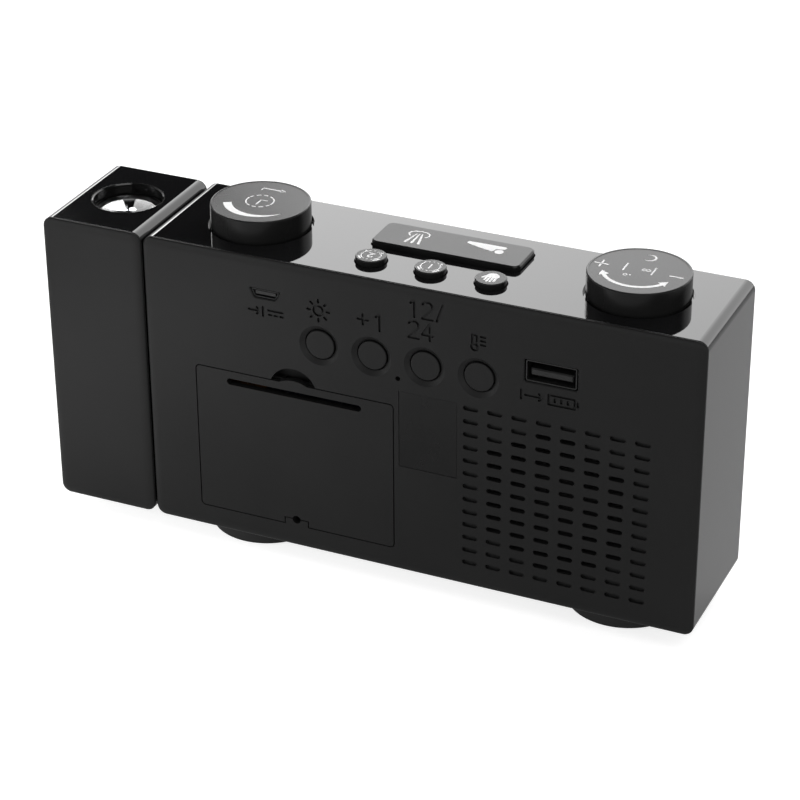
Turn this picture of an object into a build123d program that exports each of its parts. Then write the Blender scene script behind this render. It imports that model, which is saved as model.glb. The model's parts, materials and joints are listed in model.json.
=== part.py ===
"""Projection alarm clock: a box clock with two knobs, and a projector block that swivels on one end.

Millimetres. +Z is up, the display faces -Y, the ports and the battery door face +Y, and the projector
block is at +X. The origin is on the table, under the middle of the whole clock.
"""
from build123d import *
from math import cos, sin, radians, hypot, degrees, atan2
import os

os.makedirs("parts", exist_ok=True)

# ---------------------------------------------------------------------------------------------
# Driving dimensions
# ---------------------------------------------------------------------------------------------
# Overall
total_length = 180.0
body_length = 150.7
module_gap = 0.75
body_height = 81.8
body_depth = 37.2
foot_height = 5.0

# Housings
corner_radius = 2.6
rear_edge_depth = 0.75
rear_edge_reach = 2.4
front_edge_radius = 0.3
sleeve_edge_radius = 0.15
wall = 2.0
cover_thickness = 2.2
cover_rim = 0.8
cover_seam_width = 0.25
cover_lip_depth = 2.2
cover_lip_thickness = 1.2
fit_gap = 0.1
press_gap = 0.02
move_gap = 0.3

# Front
window_thickness = 1.5
window_rim = 1.0
chassis_thickness = 2.0
rib_thickness = 1.5
rib_height = 1.5
display_length = 118.0
display_height = 58.0
display_depth = 4.2
digit_height = 33.0
digit_width = 17.0
digit_pitch = 24.0
digit_stroke = 4.0
small_digit_scale = 0.36
segment_relief = 0.3
segment_gap = 0.12
colon_space = 3.5
colon_rise = 6.0
clock_row_rise = 6.0
small_row_drop = 20.5
small_row_offset = 34.0
degree_rise = 4.6
degree_shift = 1.0
degree_radius = 1.3
degree_width = 0.6

# Knobs, at equal distances from the middle of the snooze bar
control_mid_x = -14.9
control_y = -0.5
knob_spacing = 102.3
knob_radius = 12.95
knob_rise = 6.2
knob_edge_radius = 0.35
knob_face_inset = 0.65
knob_face_depth = 0.08
knob_recess_radius = 13.65
knob_recess_depth = 1.2
knob_sink = 0.4
knob_skirt = 1.6
knob_crown = 1.6
hub_radius = 4.6
hub_clearance = 0.2
hub_flat_depth = 1.4
shaft_radius = 3.0
shaft_flat = 1.6
press_travel = 0.5
encoder_size = 12.0
encoder_height = 4.6
encoder_corner = 0.6
bushing_radius = 3.6
bushing_rise = 0.4
plunger_height = 0.6
plunger_floor = 0.5
plunger_clearance = 0.2
plunger_edge_radius = 0.2

# Snooze bar and small top buttons
key_rise = 1.5
bar_length = 40.3
bar_width = 12.4
bar_corner_radius = 2.0
bar_y = -5.5
bar_edge_chamfer = 0.4
small_key_radius = 4.0
small_key_pitch = 16.1
small_key_y = 8.5
small_key_edge = 0.3
key_flange = 1.0
key_flange_thickness = 1.2
key_stem_radius = 1.5
key_stem_length = 1.1
bar_stem_spread = 13.0
switch_size = 6.0
switch_plunger_radius = 1.6
switch_plunger_height = 0.5
rear_stem_length = 2.0

# Rear buttons
rear_key_x = 11.2
rear_key_pitch = 14.4
rear_key_z = 65.6
rear_key_radius = 3.95
rear_key_depth = 0.5
rear_bevel_radius = 5.5
rear_bevel_depth = 0.9
rear_bore_radius = 4.25
reset_x = -10.4
reset_z = 60.9
reset_radius = 0.65
reset_switch_size = 3.0

# Ports
usb_x = -51.0
usb_z = 70.4
usb_opening = (13.9, 6.0)
usb_opening_corner = 0.4
usb_outer = (13.2, 5.7)
usb_outer_corner = 0.5
usb_wall = 0.3
usb_base = 1.2
usb_tongue_drop = 0.5
usb_tongue = (11.1, 1.9)
usb_tongue_inset = 0.6
usb_tongue_bevel = 0.3
micro_x = 26.1
micro_z = 77.0
micro_opening = (8.5, 2.5)
micro_outer = (7.8, 2.1)
micro_wall = 0.2
micro_length = 5.6
micro_side_angle = 64
micro_tongue = (5.6, 0.9)
micro_tongue_rise = 0.1
micro_tongue_inset = 0.2
micro_upper_radius = 0.15
micro_lower_radius = 0.8
port_inset = 0.4
port_bevel = 0.25

# Battery bay and door
door_x = 18.8
door_z = 32.2
door_width = 55.5
door_height = 41.5
door_thickness = 1.8
door_corner_radius = 1.0
door_inner_bevel = 0.6
door_gap = 0.3
door_slot = (38.0, 1.8)
door_slot_z = 50.0
door_axis_rise = 0.55
thumb_notch_radius = 6.75
thumb_notch_rise = 4.2
thumb_notch_depth = 3.6
thumb_cup_wall = 1.0
door_bump_width = 8.0
door_bump_rise = 1.0
tongue_width = 6.4
tongue_rise = 1.5
tongue_hole_radius = 1.15
bay_ledge = 2.0
bay_wall = 1.2
bay_floor_y = 4.4
bay_bottom_z = 9.6
cell_radius = 5.2
cell_length = 44.5
cell_nub_radius = 1.9
cell_nub_length = 1.0
cell_edge = 0.4
cell_pitch = 11.6
contact_thickness = 0.5
contact_size = 8.6
spring_radius = 3.0
spring_wire = 0.3
spring_pitch = 1.1
door_rib_spread = 15.0
door_rib_length = 28.0
door_rib_height = 1.0
door_rib_width = 1.2
door_hook_spread = 18.0
door_hook_width = 6.0
latch_width = 6.0
latch_depth = 1.9
latch_chamfer = 0.8
latch_lift = 0.2
latch_top_gap = 0.05
hook_depth = 2.2
hook_height = 2.0
hook_lip_height = 2.0
hook_lip_rise = 0.4

# Label panel
label_x = -18.5
label_z = 46.7
label_size = (15.9, 21.6)
label_pocket = 0.35
label_thickness = 0.25

# Speaker and grille
speaker_x = -52.6
speaker_z = 34.25
grille_columns = 8
grille_rows = 13
grille_pitch_x = 6.43
grille_pitch_z = 3.72
grille_slot = (4.1, 1.3)
blind_slot_depth = 0.8
grille_relief_radius = 17.8
grille_relief_depth = 1.0
speaker_radius = 20.0
speaker_flange = 1.2
gasket_thickness = 0.6
gasket_inner_radius = 18.4
speaker_ring_wall = 1.2
speaker_boss_radius = 2.2
speaker_boss_circle = 22.2
magnet_radius = 11.0
magnet_depth = 7.2
magnet_bevel = 0.8
basket_floor = 1.0
basket_floor_reach = 1.5
basket_bore_radius = 17.3
basket_rim_radius = 18.6
cone_sheet = 0.35
cone_back_y = 7.0
cone_neck_rise = 3.6
cone_neck_radius = 5.0
cone_rim_radius = 18.2
surround_radii = (14.3, 15.7, 17.1)
surround_sag = 1.25
coil_wall = 0.4
cap_rise = 2.3

# Engraved marks on the rear cover
engraving_depth = 0.5
engraving_width = 0.62
mark_height = 4.6
upper_mark_z = 75.5
power_in_mark_z = 72.2
power_out_mark_z = 63.7

# Boards and screws
board_thickness = 1.6
top_board_z = 78.3
top_board_thickness = 1.4
rear_board_y = 7.6
rear_board_size = (86.0, 18.5)
rear_board_mid_x = -19.0
rear_board_mid_z = 65.75
case_screw_length = 8.0
main_screw_spread = 55.0
main_screw_zs = (22.0, 70.0)
main_screw_bite = 3.4
rear_screw_bite = 6.0
top_screw_bite = 4.0
top_screw_xs = (-52.0, 18.0)
top_screw_reach = 10.0
post_pilot_depth = 8.0
foot_screw_head_z = 3.2
foot_boss_radius = 3.0
foot_boss_height = 5.0
foot_pilot_depth = 6.2
board_margin_x = 4.0
board_margin_z = 2.0
top_board_size = (120.0, 29.5)
top_board_y = 0.75
screw_radius = 1.25
screw_head_radius = 2.3
screw_head_height = 1.2
post_radius = 3.2
post_inset = 5.0

# Feet
foot_radius = 15.4
foot_edge_radius = 0.5
foot_lift = 0.2
pad_radius = 12.4
pad_thickness = 1.3

# Projector block
proj_wall = 1.8
lens_x = 75.2
lens_y = -0.5
lens_hole_radius = 9.75
ring_radius = 9.65
ring_bore_radius = 9.1
ring_bevel = 0.3
ring_proud = 0.15
lens_radius = 8.6
lens_edge = 2.0
lens_dome = 1.35
lens_drop = 2.6
lens_back_dome = 1.4
ring_flange_thickness = 1.0
condenser_seat_z = 60.5
slide_seat_z = 67.0
slide_size = 10.6
slide_thickness = 1.5
barrel_radius = 10.9
barrel_bore_radius = 7.8
barrel_bottom_z = 56.6
tube_outer_radius = 7.0
tube_inner_radius = 5.0
tube_flange_radius = 9.5
tube_flange_thickness = 2.0
running_gap = 0.05
clip_radius = 9.0
clip_thickness = 1.2
clip_shoulder = 1.4
clip_mouth_margin = 3.0
groove_depth = 0.5
washer_radius = 11.0
washer_thickness = 0.45
bearing_length = 3.0
bearing_radius = 10.0
led_board_size = (19.0, 24.0)
led_board_corner = 1.0
led_base_size = 5.0
led_base_height = 1.0
led_dome_radius = 1.8
condenser_radius = 7.6
condenser_edge = 1.2
condenser_dome = 2.8
ledge_thickness = 1.0
ledge_reach = 2.2

# ---------------------------------------------------------------------------------------------
# Places worked out from the dimensions
# ---------------------------------------------------------------------------------------------
left_x = -total_length / 2
body_right_x = left_x + body_length
body_mid_x = left_x + body_length / 2
proj_left_x = body_right_x + module_gap
proj_right_x = total_length / 2
proj_length = proj_right_x - proj_left_x
proj_mid_x = (proj_left_x + proj_right_x) / 2

front_y = -body_depth / 2
rear_y = body_depth / 2
cover_y = rear_y - cover_thickness
rim_front_y = rear_y - cover_rim
sleeve_y = rim_front_y - cover_seam_width
base_z = foot_height
top_z = foot_height + body_height
mid_z = foot_height + body_height / 2
inner_top_z = top_z - wall
inner_bottom_z = base_z + wall

window_back_y = front_y + window_thickness
chassis_front_y = window_back_y + fit_gap
chassis_back_y = chassis_front_y + chassis_thickness
board_face_y = chassis_front_y + display_depth

enter_x = control_mid_x + knob_spacing / 2
volume_x = control_mid_x - knob_spacing / 2
board_top_z = top_board_z + top_board_thickness
knob_bottom_z = top_z - knob_sink
knob_top_z = top_z + knob_rise
key_top_z = top_z + key_rise
flange_top_z = inner_top_z - fit_gap
flange_bottom_z = flange_top_z - key_flange_thickness
stem_bottom_z = flange_bottom_z - key_stem_length
switch_top_z = stem_bottom_z - press_travel - fit_gap
small_key_xs = [control_mid_x + small_key_pitch * step for step in (1, 0, -1)]
rear_key_xs = [rear_key_x - rear_key_pitch * step for step in range(4)]

door_top_z = door_z + door_height / 2
door_bottom_z = door_z - door_height / 2
door_back_y = rear_y - door_thickness
bay_width = door_width + 2 * door_gap - 2 * bay_ledge
bay_top_z = door_top_z + door_gap - bay_ledge
bay_left_x = door_x - bay_width / 2
bay_right_x = door_x + bay_width / 2
bay_mid_z = (bay_bottom_z + bay_top_z) / 2
cell_y = bay_floor_y + fit_gap + cell_radius
notch_bottom_z = door_top_z + door_gap
notch_center_z = notch_bottom_z + thumb_notch_rise - thumb_notch_radius
notch_floor_y = rear_y - thumb_notch_depth
bump_radius = ((door_bump_width / 2) ** 2 + door_bump_rise**2) / (2 * door_bump_rise)
bump_center_z = door_top_z + door_bump_rise - bump_radius

speaker_back_y = cover_y - gasket_thickness - speaker_flange
post_xs = (left_x + wall + post_inset, body_right_x - wall - post_inset)
post_zs = (inner_bottom_z + post_inset, inner_top_z - post_inset)
post_points = [(x, z) for x in post_xs for z in post_zs]
top_screw_points = [(x, y) for x in top_screw_xs for y in (-top_screw_reach, top_screw_reach)]
rear_screw_points = [(-40.5, 72.0), (18.5, 60.0)]
main_screw_xs = (body_mid_x - main_screw_spread, body_mid_x + main_screw_spread)
main_screw_points = [(x, z) for x in main_screw_xs for z in main_screw_zs]
speaker_screw_points = [
    (speaker_x + speaker_boss_circle * cos(radians(a)), speaker_z + speaker_boss_circle * sin(radians(a)))
    for a in (90, 210, 330)
]

latch_z = door_slot_z + door_slot[1] / 2 + latch_lift
latch_height = door_top_z - latch_top_gap - latch_z
hook_z = door_bottom_z + door_axis_rise + hook_height / 2
hook_lip_z = door_bottom_z + door_axis_rise - hook_lip_height / 2 + hook_lip_rise

rear_flange_y = cover_y - fit_gap
rear_stem_y = rear_flange_y - key_flange_thickness - rear_stem_length
rear_switch_top_y = rear_stem_y - press_travel - fit_gap
port_face_y = rear_y - port_inset
speaker_front_y = cover_y - gasket_thickness

bushing_top_z = top_z - knob_recess_depth + bushing_rise
plunger_floor_z = board_top_z + plunger_floor
plunger_bottom_z = plunger_floor_z + press_travel + fit_gap
shaft_bottom_z = plunger_bottom_z + plunger_height
hub_bottom_z = bushing_top_z + press_travel + hub_clearance
shaft_top_z = knob_top_z - knob_crown

clock_row_z = mid_z + clock_row_rise
small_row_z = mid_z - small_row_drop
small_row_x = body_mid_x + small_row_offset

lens_top_z = top_z - lens_drop
ring_flange_z = top_z - proj_wall - fit_gap
lens_bore_radius = barrel_bore_radius
lens_sphere = (lens_radius**2 + lens_dome**2) / (2 * lens_dome)
lens_back_sphere = (lens_bore_radius**2 + lens_back_dome**2) / (2 * lens_back_dome)
condenser_sphere = (condenser_radius**2 + condenser_dome**2) / (2 * condenser_dome)
condenser_rim_z = condenser_seat_z + condenser_edge
condenser_top_z = condenser_rim_z + condenser_dome


# ---------------------------------------------------------------------------------------------
# Helpers
# ---------------------------------------------------------------------------------------------
def write(piece, label):
    """Name a finished sub-part and write its STEP file."""
    piece.part.label = label
    export_step(piece.part, f"parts/{label}.step")


def upright(y):
    """Upright plane at depth y, facing the front: local x is X and local y is Z."""
    return Plane(origin=(0, y, 0), x_dir=(1, 0, 0), z_dir=(0, -1, 0))


def radial(x, y):
    """Upright plane through a vertical axis at (x, y), for profiles in radius and height."""
    return Plane(origin=(x, y, 0), x_dir=(1, 0, 0), z_dir=(0, -1, 0))


def bar_between(start, end, width):
    """Rounded bar from one point of a sketch to another."""
    length = hypot(end[0] - start[0], end[1] - start[1])
    angle = degrees(atan2(end[1] - start[1], end[0] - start[0]))
    with Locations(((start[0] + end[0]) / 2, (start[1] + end[1]) / 2)):
        SlotCenterToCenter(length, width, rotation=angle)


def stroke_path(origin, points, size, width):
    """Open line of rounded bars for a mark that is read from behind, where left is +X."""
    placed = [(origin[0] - u * size, origin[1] + v * size) for u, v in points]
    for start, end in zip(placed, placed[1:]):
        bar_between(start, end, width)


# Numerals as open lines in a box one unit high and 0.6 wide
numeral_lines = {
    "1": [[(0.12, 0.8), (0.34, 1.0), (0.34, 0.0)]],
    "2": [[(0.02, 0.85), (0.18, 1.0), (0.42, 1.0), (0.58, 0.84), (0.58, 0.64), (0.0, 0.0), (0.6, 0.0)]],
    "4": [[(0.44, 0.0), (0.44, 1.0), (0.0, 0.3), (0.6, 0.3)]],
}


def numerals(text, left, bottom, height):
    """Row of engraved numerals, read from behind."""
    for index, character in enumerate(text):
        for line in numeral_lines[character]:
            stroke_path((left - index * height * 0.8, bottom), line, height, engraving_width)


def ring_mark(center, outer, inner):
    """Engraved ring."""
    with Locations(center):
        Circle(outer)
        Circle(inner, mode=Mode.SUBTRACT)


def sun_mark(center):
    """Brightness: a ring with eight rays."""
    ring_mark(center, 1.6, 1.6 - engraving_width)
    for step in range(8):
        angle = radians(45 * step)
        start = (center[0] + 2.3 * cos(angle), center[1] + 2.3 * sin(angle))
        end = (center[0] + 3.0 * cos(angle), center[1] + 3.0 * sin(angle))
        bar_between(start, end, engraving_width)


def plus_one_mark(center):
    """One hour on: a plus sign and the numeral one."""
    bar_between((center[0] + 3.6, center[1]), (center[0] + 0.8, center[1]), engraving_width)
    bar_between((center[0] + 2.2, center[1] + 1.4), (center[0] + 2.2, center[1] - 1.4), engraving_width)
    numerals("1", center[0] - 0.8, center[1] - mark_height / 2, mark_height)


def hour_mark(center):
    """Twelve over twenty-four, with a slash between."""
    numerals("12", center[0] + 4.2, center[1] + mark_height / 2 + 1.2, mark_height)
    numerals("24", center[0] + 4.2, center[1] - mark_height / 2, mark_height)
    slash_foot = (center[0] - 3.4, center[1] + mark_height / 2 + 1.2)
    slash_tip = (center[0] - 5.0, center[1] + mark_height * 1.5 + 1.2)
    bar_between(slash_foot, slash_tip, engraving_width)


def thermometer_mark(center):
    """Temperature unit: a thermometer with its scale."""
    bulb = (center[0] + 1.0, center[1] - 1.5)
    ring_mark(bulb, 1.15, 1.15 - engraving_width)
    for side in (-0.62, 0.62):
        bar_between((bulb[0] + side, bulb[1] + 0.95), (bulb[0] + side, bulb[1] + 3.3), engraving_width)
    bar_between((bulb[0] - 0.62, bulb[1] + 3.3), (bulb[0] + 0.62, bulb[1] + 3.3), engraving_width)
    for tick in (0.9, 2.0, 3.1):
        bar_between((bulb[0] - 1.7, bulb[1] + tick), (bulb[0] - 2.8, bulb[1] + tick), engraving_width)


def arrow_mark(tail, reach):
    """Arrow of the given reach that points away from its tail, along X."""
    tip = (tail[0] + reach, tail[1])
    turn = 1 if reach > 0 else -1
    bar_between(tail, tip, engraving_width)
    for side in (1, -1):
        bar_between(tip, (tip[0] - turn * 0.9, tip[1] + side * 0.9), engraving_width)


def power_in_mark(center):
    """Direct current in: an arrow to a bar, then the sign for direct current."""
    arrow_mark((center[0] + 4.6, center[1]), -3.2)
    bar_between((center[0] + 0.6, center[1] + 1.2), (center[0] + 0.6, center[1] - 1.2), engraving_width)
    bar_between((center[0] - 0.9, center[1] + 0.6), (center[0] - 4.9, center[1] + 0.6), engraving_width)
    for step in range(3):
        dash_x = center[0] - 1.1 - 1.6 * step
        bar_between((dash_x, center[1] - 0.6), (dash_x - 0.6, center[1] - 0.6), engraving_width)


def power_out_mark(center):
    """Charging outlet: a bar with an arrow leaving it, towards a battery."""
    bar_between((center[0] + 7.6, center[1] + 1.2), (center[0] + 7.6, center[1] - 1.2), engraving_width)
    arrow_mark((center[0] + 6.6, center[1]), -4.6)
    corners = [(0.4, 1.3), (-6.4, 1.3), (-6.4, -1.3), (0.4, -1.3), (0.4, 1.3)]
    outline = [(center[0] + dx, center[1] + dz) for dx, dz in corners]
    for start, end in zip(outline, outline[1:]):
        bar_between(start, end, engraving_width)
    bar_between((center[0] - 7.2, center[1] + 0.5), (center[0] - 7.2, center[1] - 0.5), engraving_width)
    for step in range(3):
        level_x = center[0] - 1.2 - 1.7 * step
        bar_between((level_x, center[1] + 0.4), (level_x, center[1] - 0.4), engraving_width)


# Lit bars of each numeral on the display: top, upper right, lower right, bottom, lower left,
# upper left, middle
lit_segments = {"0": "abcdef", "1": "bc", "2": "abdeg", "3": "abcdg", "8": "abcdefg"}


def display_numeral(character, center_x, center_z, scale):
    """Seven-segment numeral read from the front."""
    half_w = (digit_width - digit_stroke) / 2 * scale
    half_h = (digit_height - digit_stroke) / 4 * scale
    stroke = digit_stroke * scale
    places = {
        "a": (0, 2 * half_h, 0),
        "b": (half_w, half_h, 90),
        "c": (half_w, -half_h, 90),
        "d": (0, -2 * half_h, 0),
        "e": (-half_w, -half_h, 90),
        "f": (-half_w, half_h, 90),
        "g": (0, 0, 0),
    }
    for segment in lit_segments[character]:
        dx, dz, turn = places[segment]
        reach = 2 * (half_w if turn == 0 else half_h) - segment_gap * stroke
        tip = reach / 2
        shoulder = tip - stroke / 2
        with Locations((center_x + dx, center_z + dz)):
            Polygon(
                (-tip, 0),
                (-shoulder, stroke / 2),
                (shoulder, stroke / 2),
                (tip, 0),
                (shoulder, -stroke / 2),
                (-shoulder, -stroke / 2),
                rotation=turn,
            )


# ---------------------------------------------------------------------------------------------
# Main housing
# ---------------------------------------------------------------------------------------------
inner_length = body_length - 2 * wall
inner_height = body_height - 2 * wall

with BuildPart() as body_shell:
    with BuildSketch(upright(sleeve_y)):
        with Locations((body_mid_x, mid_z)):
            RectangleRounded(body_length, body_height, corner_radius)
    extrude(amount=sleeve_y - front_y)
    fillet(body_shell.faces().sort_by(Axis.Y)[0].edges(), front_edge_radius)
    fillet(body_shell.faces().sort_by(Axis.Y)[-1].edges(), sleeve_edge_radius)
    # Inside of the sleeve, with the rib that the chassis rests on
    with BuildSketch(upright(sleeve_y)):
        with Locations((body_mid_x, mid_z)):
            Rectangle(inner_length, inner_height)
    extrude(amount=sleeve_y - chassis_back_y - rib_thickness, mode=Mode.SUBTRACT)
    with BuildSketch(upright(chassis_back_y + rib_thickness)):
        with Locations((body_mid_x, mid_z)):
            Rectangle(inner_length - 2 * rib_height, inner_height - 2 * rib_height)
    extrude(amount=rib_thickness, mode=Mode.SUBTRACT)
    with BuildSketch(upright(chassis_back_y)):
        with Locations((body_mid_x, mid_z)):
            Rectangle(inner_length, inner_height)
    extrude(amount=chassis_back_y - front_y, mode=Mode.SUBTRACT)
    # Rebate that holds the front window
    with BuildSketch(upright(window_back_y)):
        with Locations((body_mid_x, mid_z)):
            RectangleRounded(body_length - 2 * window_rim, body_height - 2 * window_rim, window_rim)
    extrude(amount=window_thickness, mode=Mode.SUBTRACT)
    # Recesses for the knobs, and the holes that their bushings come through
    with BuildSketch(Plane.XY.offset(top_z)):
        with Locations((enter_x, control_y), (volume_x, control_y)):
            Circle(knob_recess_radius)
    extrude(amount=-knob_recess_depth, mode=Mode.SUBTRACT)
    with BuildSketch(Plane.XY.offset(top_z)):
        with Locations((enter_x, control_y), (volume_x, control_y)):
            Circle(bushing_radius + fit_gap)
        with Locations((control_mid_x, bar_y)):
            RectangleRounded(
                bar_length + 2 * move_gap, bar_width + 2 * move_gap, bar_corner_radius + move_gap
            )
        with Locations(*[(x, small_key_y) for x in small_key_xs]):
            Circle(small_key_radius + move_gap)
    extrude(amount=-wall, mode=Mode.SUBTRACT)
    # Bosses under the top for the key board
    with BuildSketch(Plane.XY.offset(inner_top_z)):
        with Locations(*top_screw_points):
            Circle(speaker_boss_radius)
            Circle(screw_radius, mode=Mode.SUBTRACT)
    extrude(amount=-(inner_top_z - board_top_z))
    # Bosses in the bottom for the feet, drilled from below
    with BuildSketch(Plane.XY.offset(inner_bottom_z)):
        with Locations((enter_x, 0), (volume_x, 0)):
            Circle(foot_boss_radius)
    extrude(amount=foot_boss_height)
    with BuildSketch(Plane.XY.offset(base_z)):
        with Locations((enter_x, 0), (volume_x, 0)):
            Circle(screw_radius)
    extrude(amount=foot_pilot_depth, mode=Mode.SUBTRACT)
    # Bearing for the projector's pivot tube
    with BuildSketch(Plane.YZ.offset(body_right_x - wall)):
        with Locations((0, mid_z)):
            Circle(bearing_radius)
    extrude(amount=-bearing_length)
    with BuildSketch(Plane.YZ.offset(body_right_x)):
        with Locations((0, mid_z)):
            Circle(tube_outer_radius + running_gap)
    extrude(amount=-(wall + bearing_length), mode=Mode.SUBTRACT)
write(body_shell, "body_shell")


def cover_blank(length, center_x, wall_size):
    """Closing plate: a rim that laps the sleeve's end over a shadow seam, a neck and a lip inside it."""
    neck_length = length - 2 * wall_size - 2 * fit_gap
    neck_height = body_height - 2 * wall_size - 2 * fit_gap
    with BuildPart() as blank:
        with BuildSketch(upright(rear_y)):
            with Locations((center_x, mid_z)):
                RectangleRounded(length, body_height, corner_radius)
        extrude(amount=cover_rim)
        # Outer edge: a quarter of a flat ellipse, taken round each half of the outline
        for end_x in (center_x - length / 2, center_x + length / 2):
            with BuildLine(upright(rear_y)):
                FilletPolyline(
                    (center_x, top_z),
                    (end_x, top_z),
                    (end_x, base_z),
                    (center_x, base_z),
                    radius=corner_radius,
                )
            with BuildSketch(Plane.YZ.offset(center_x)):
                with Locations((rear_y - rear_edge_depth, top_z - rear_edge_reach)):
                    Rectangle(wall, 2 * wall, align=(Align.MIN, Align.MIN))
                    Ellipse(rear_edge_depth, rear_edge_reach, mode=Mode.SUBTRACT)
            sweep(mode=Mode.SUBTRACT)
        with BuildSketch(upright(rim_front_y)):
            with Locations((center_x, mid_z)):
                Rectangle(neck_length, neck_height)
        extrude(amount=rim_front_y - cover_y)
        with BuildSketch(upright(cover_y)):
            with Locations((center_x, mid_z)):
                Rectangle(neck_length, neck_height)
                Rectangle(
                    neck_length - 2 * cover_lip_thickness,
                    neck_height - 2 * cover_lip_thickness,
                    mode=Mode.SUBTRACT,
                )
        extrude(amount=cover_lip_depth)
    return blank.part


def is_through_slot(column, row):
    """The open slots of the grille form an octagon in front of the speaker."""
    from_edge = min(row, grille_rows - 1 - row)
    half_span = {0: 0, 1: 1, 2: 2}.get(from_edge, 3)
    middle = (grille_columns - 1) / 2
    return abs(column - middle) < half_span


through_slots = []
blind_slots = []
for row in range(grille_rows):
    for column in range(grille_columns):
        slot_x = speaker_x + (column - (grille_columns - 1) / 2) * grille_pitch_x
        slot_z = speaker_z + (row - (grille_rows - 1) / 2) * grille_pitch_z
        if is_through_slot(column, row):
            through_slots.append((slot_x, slot_z))
        else:
            blind_slots.append((slot_x, slot_z))

main_cover_blank = cover_blank(body_length, body_mid_x, wall)

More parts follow.
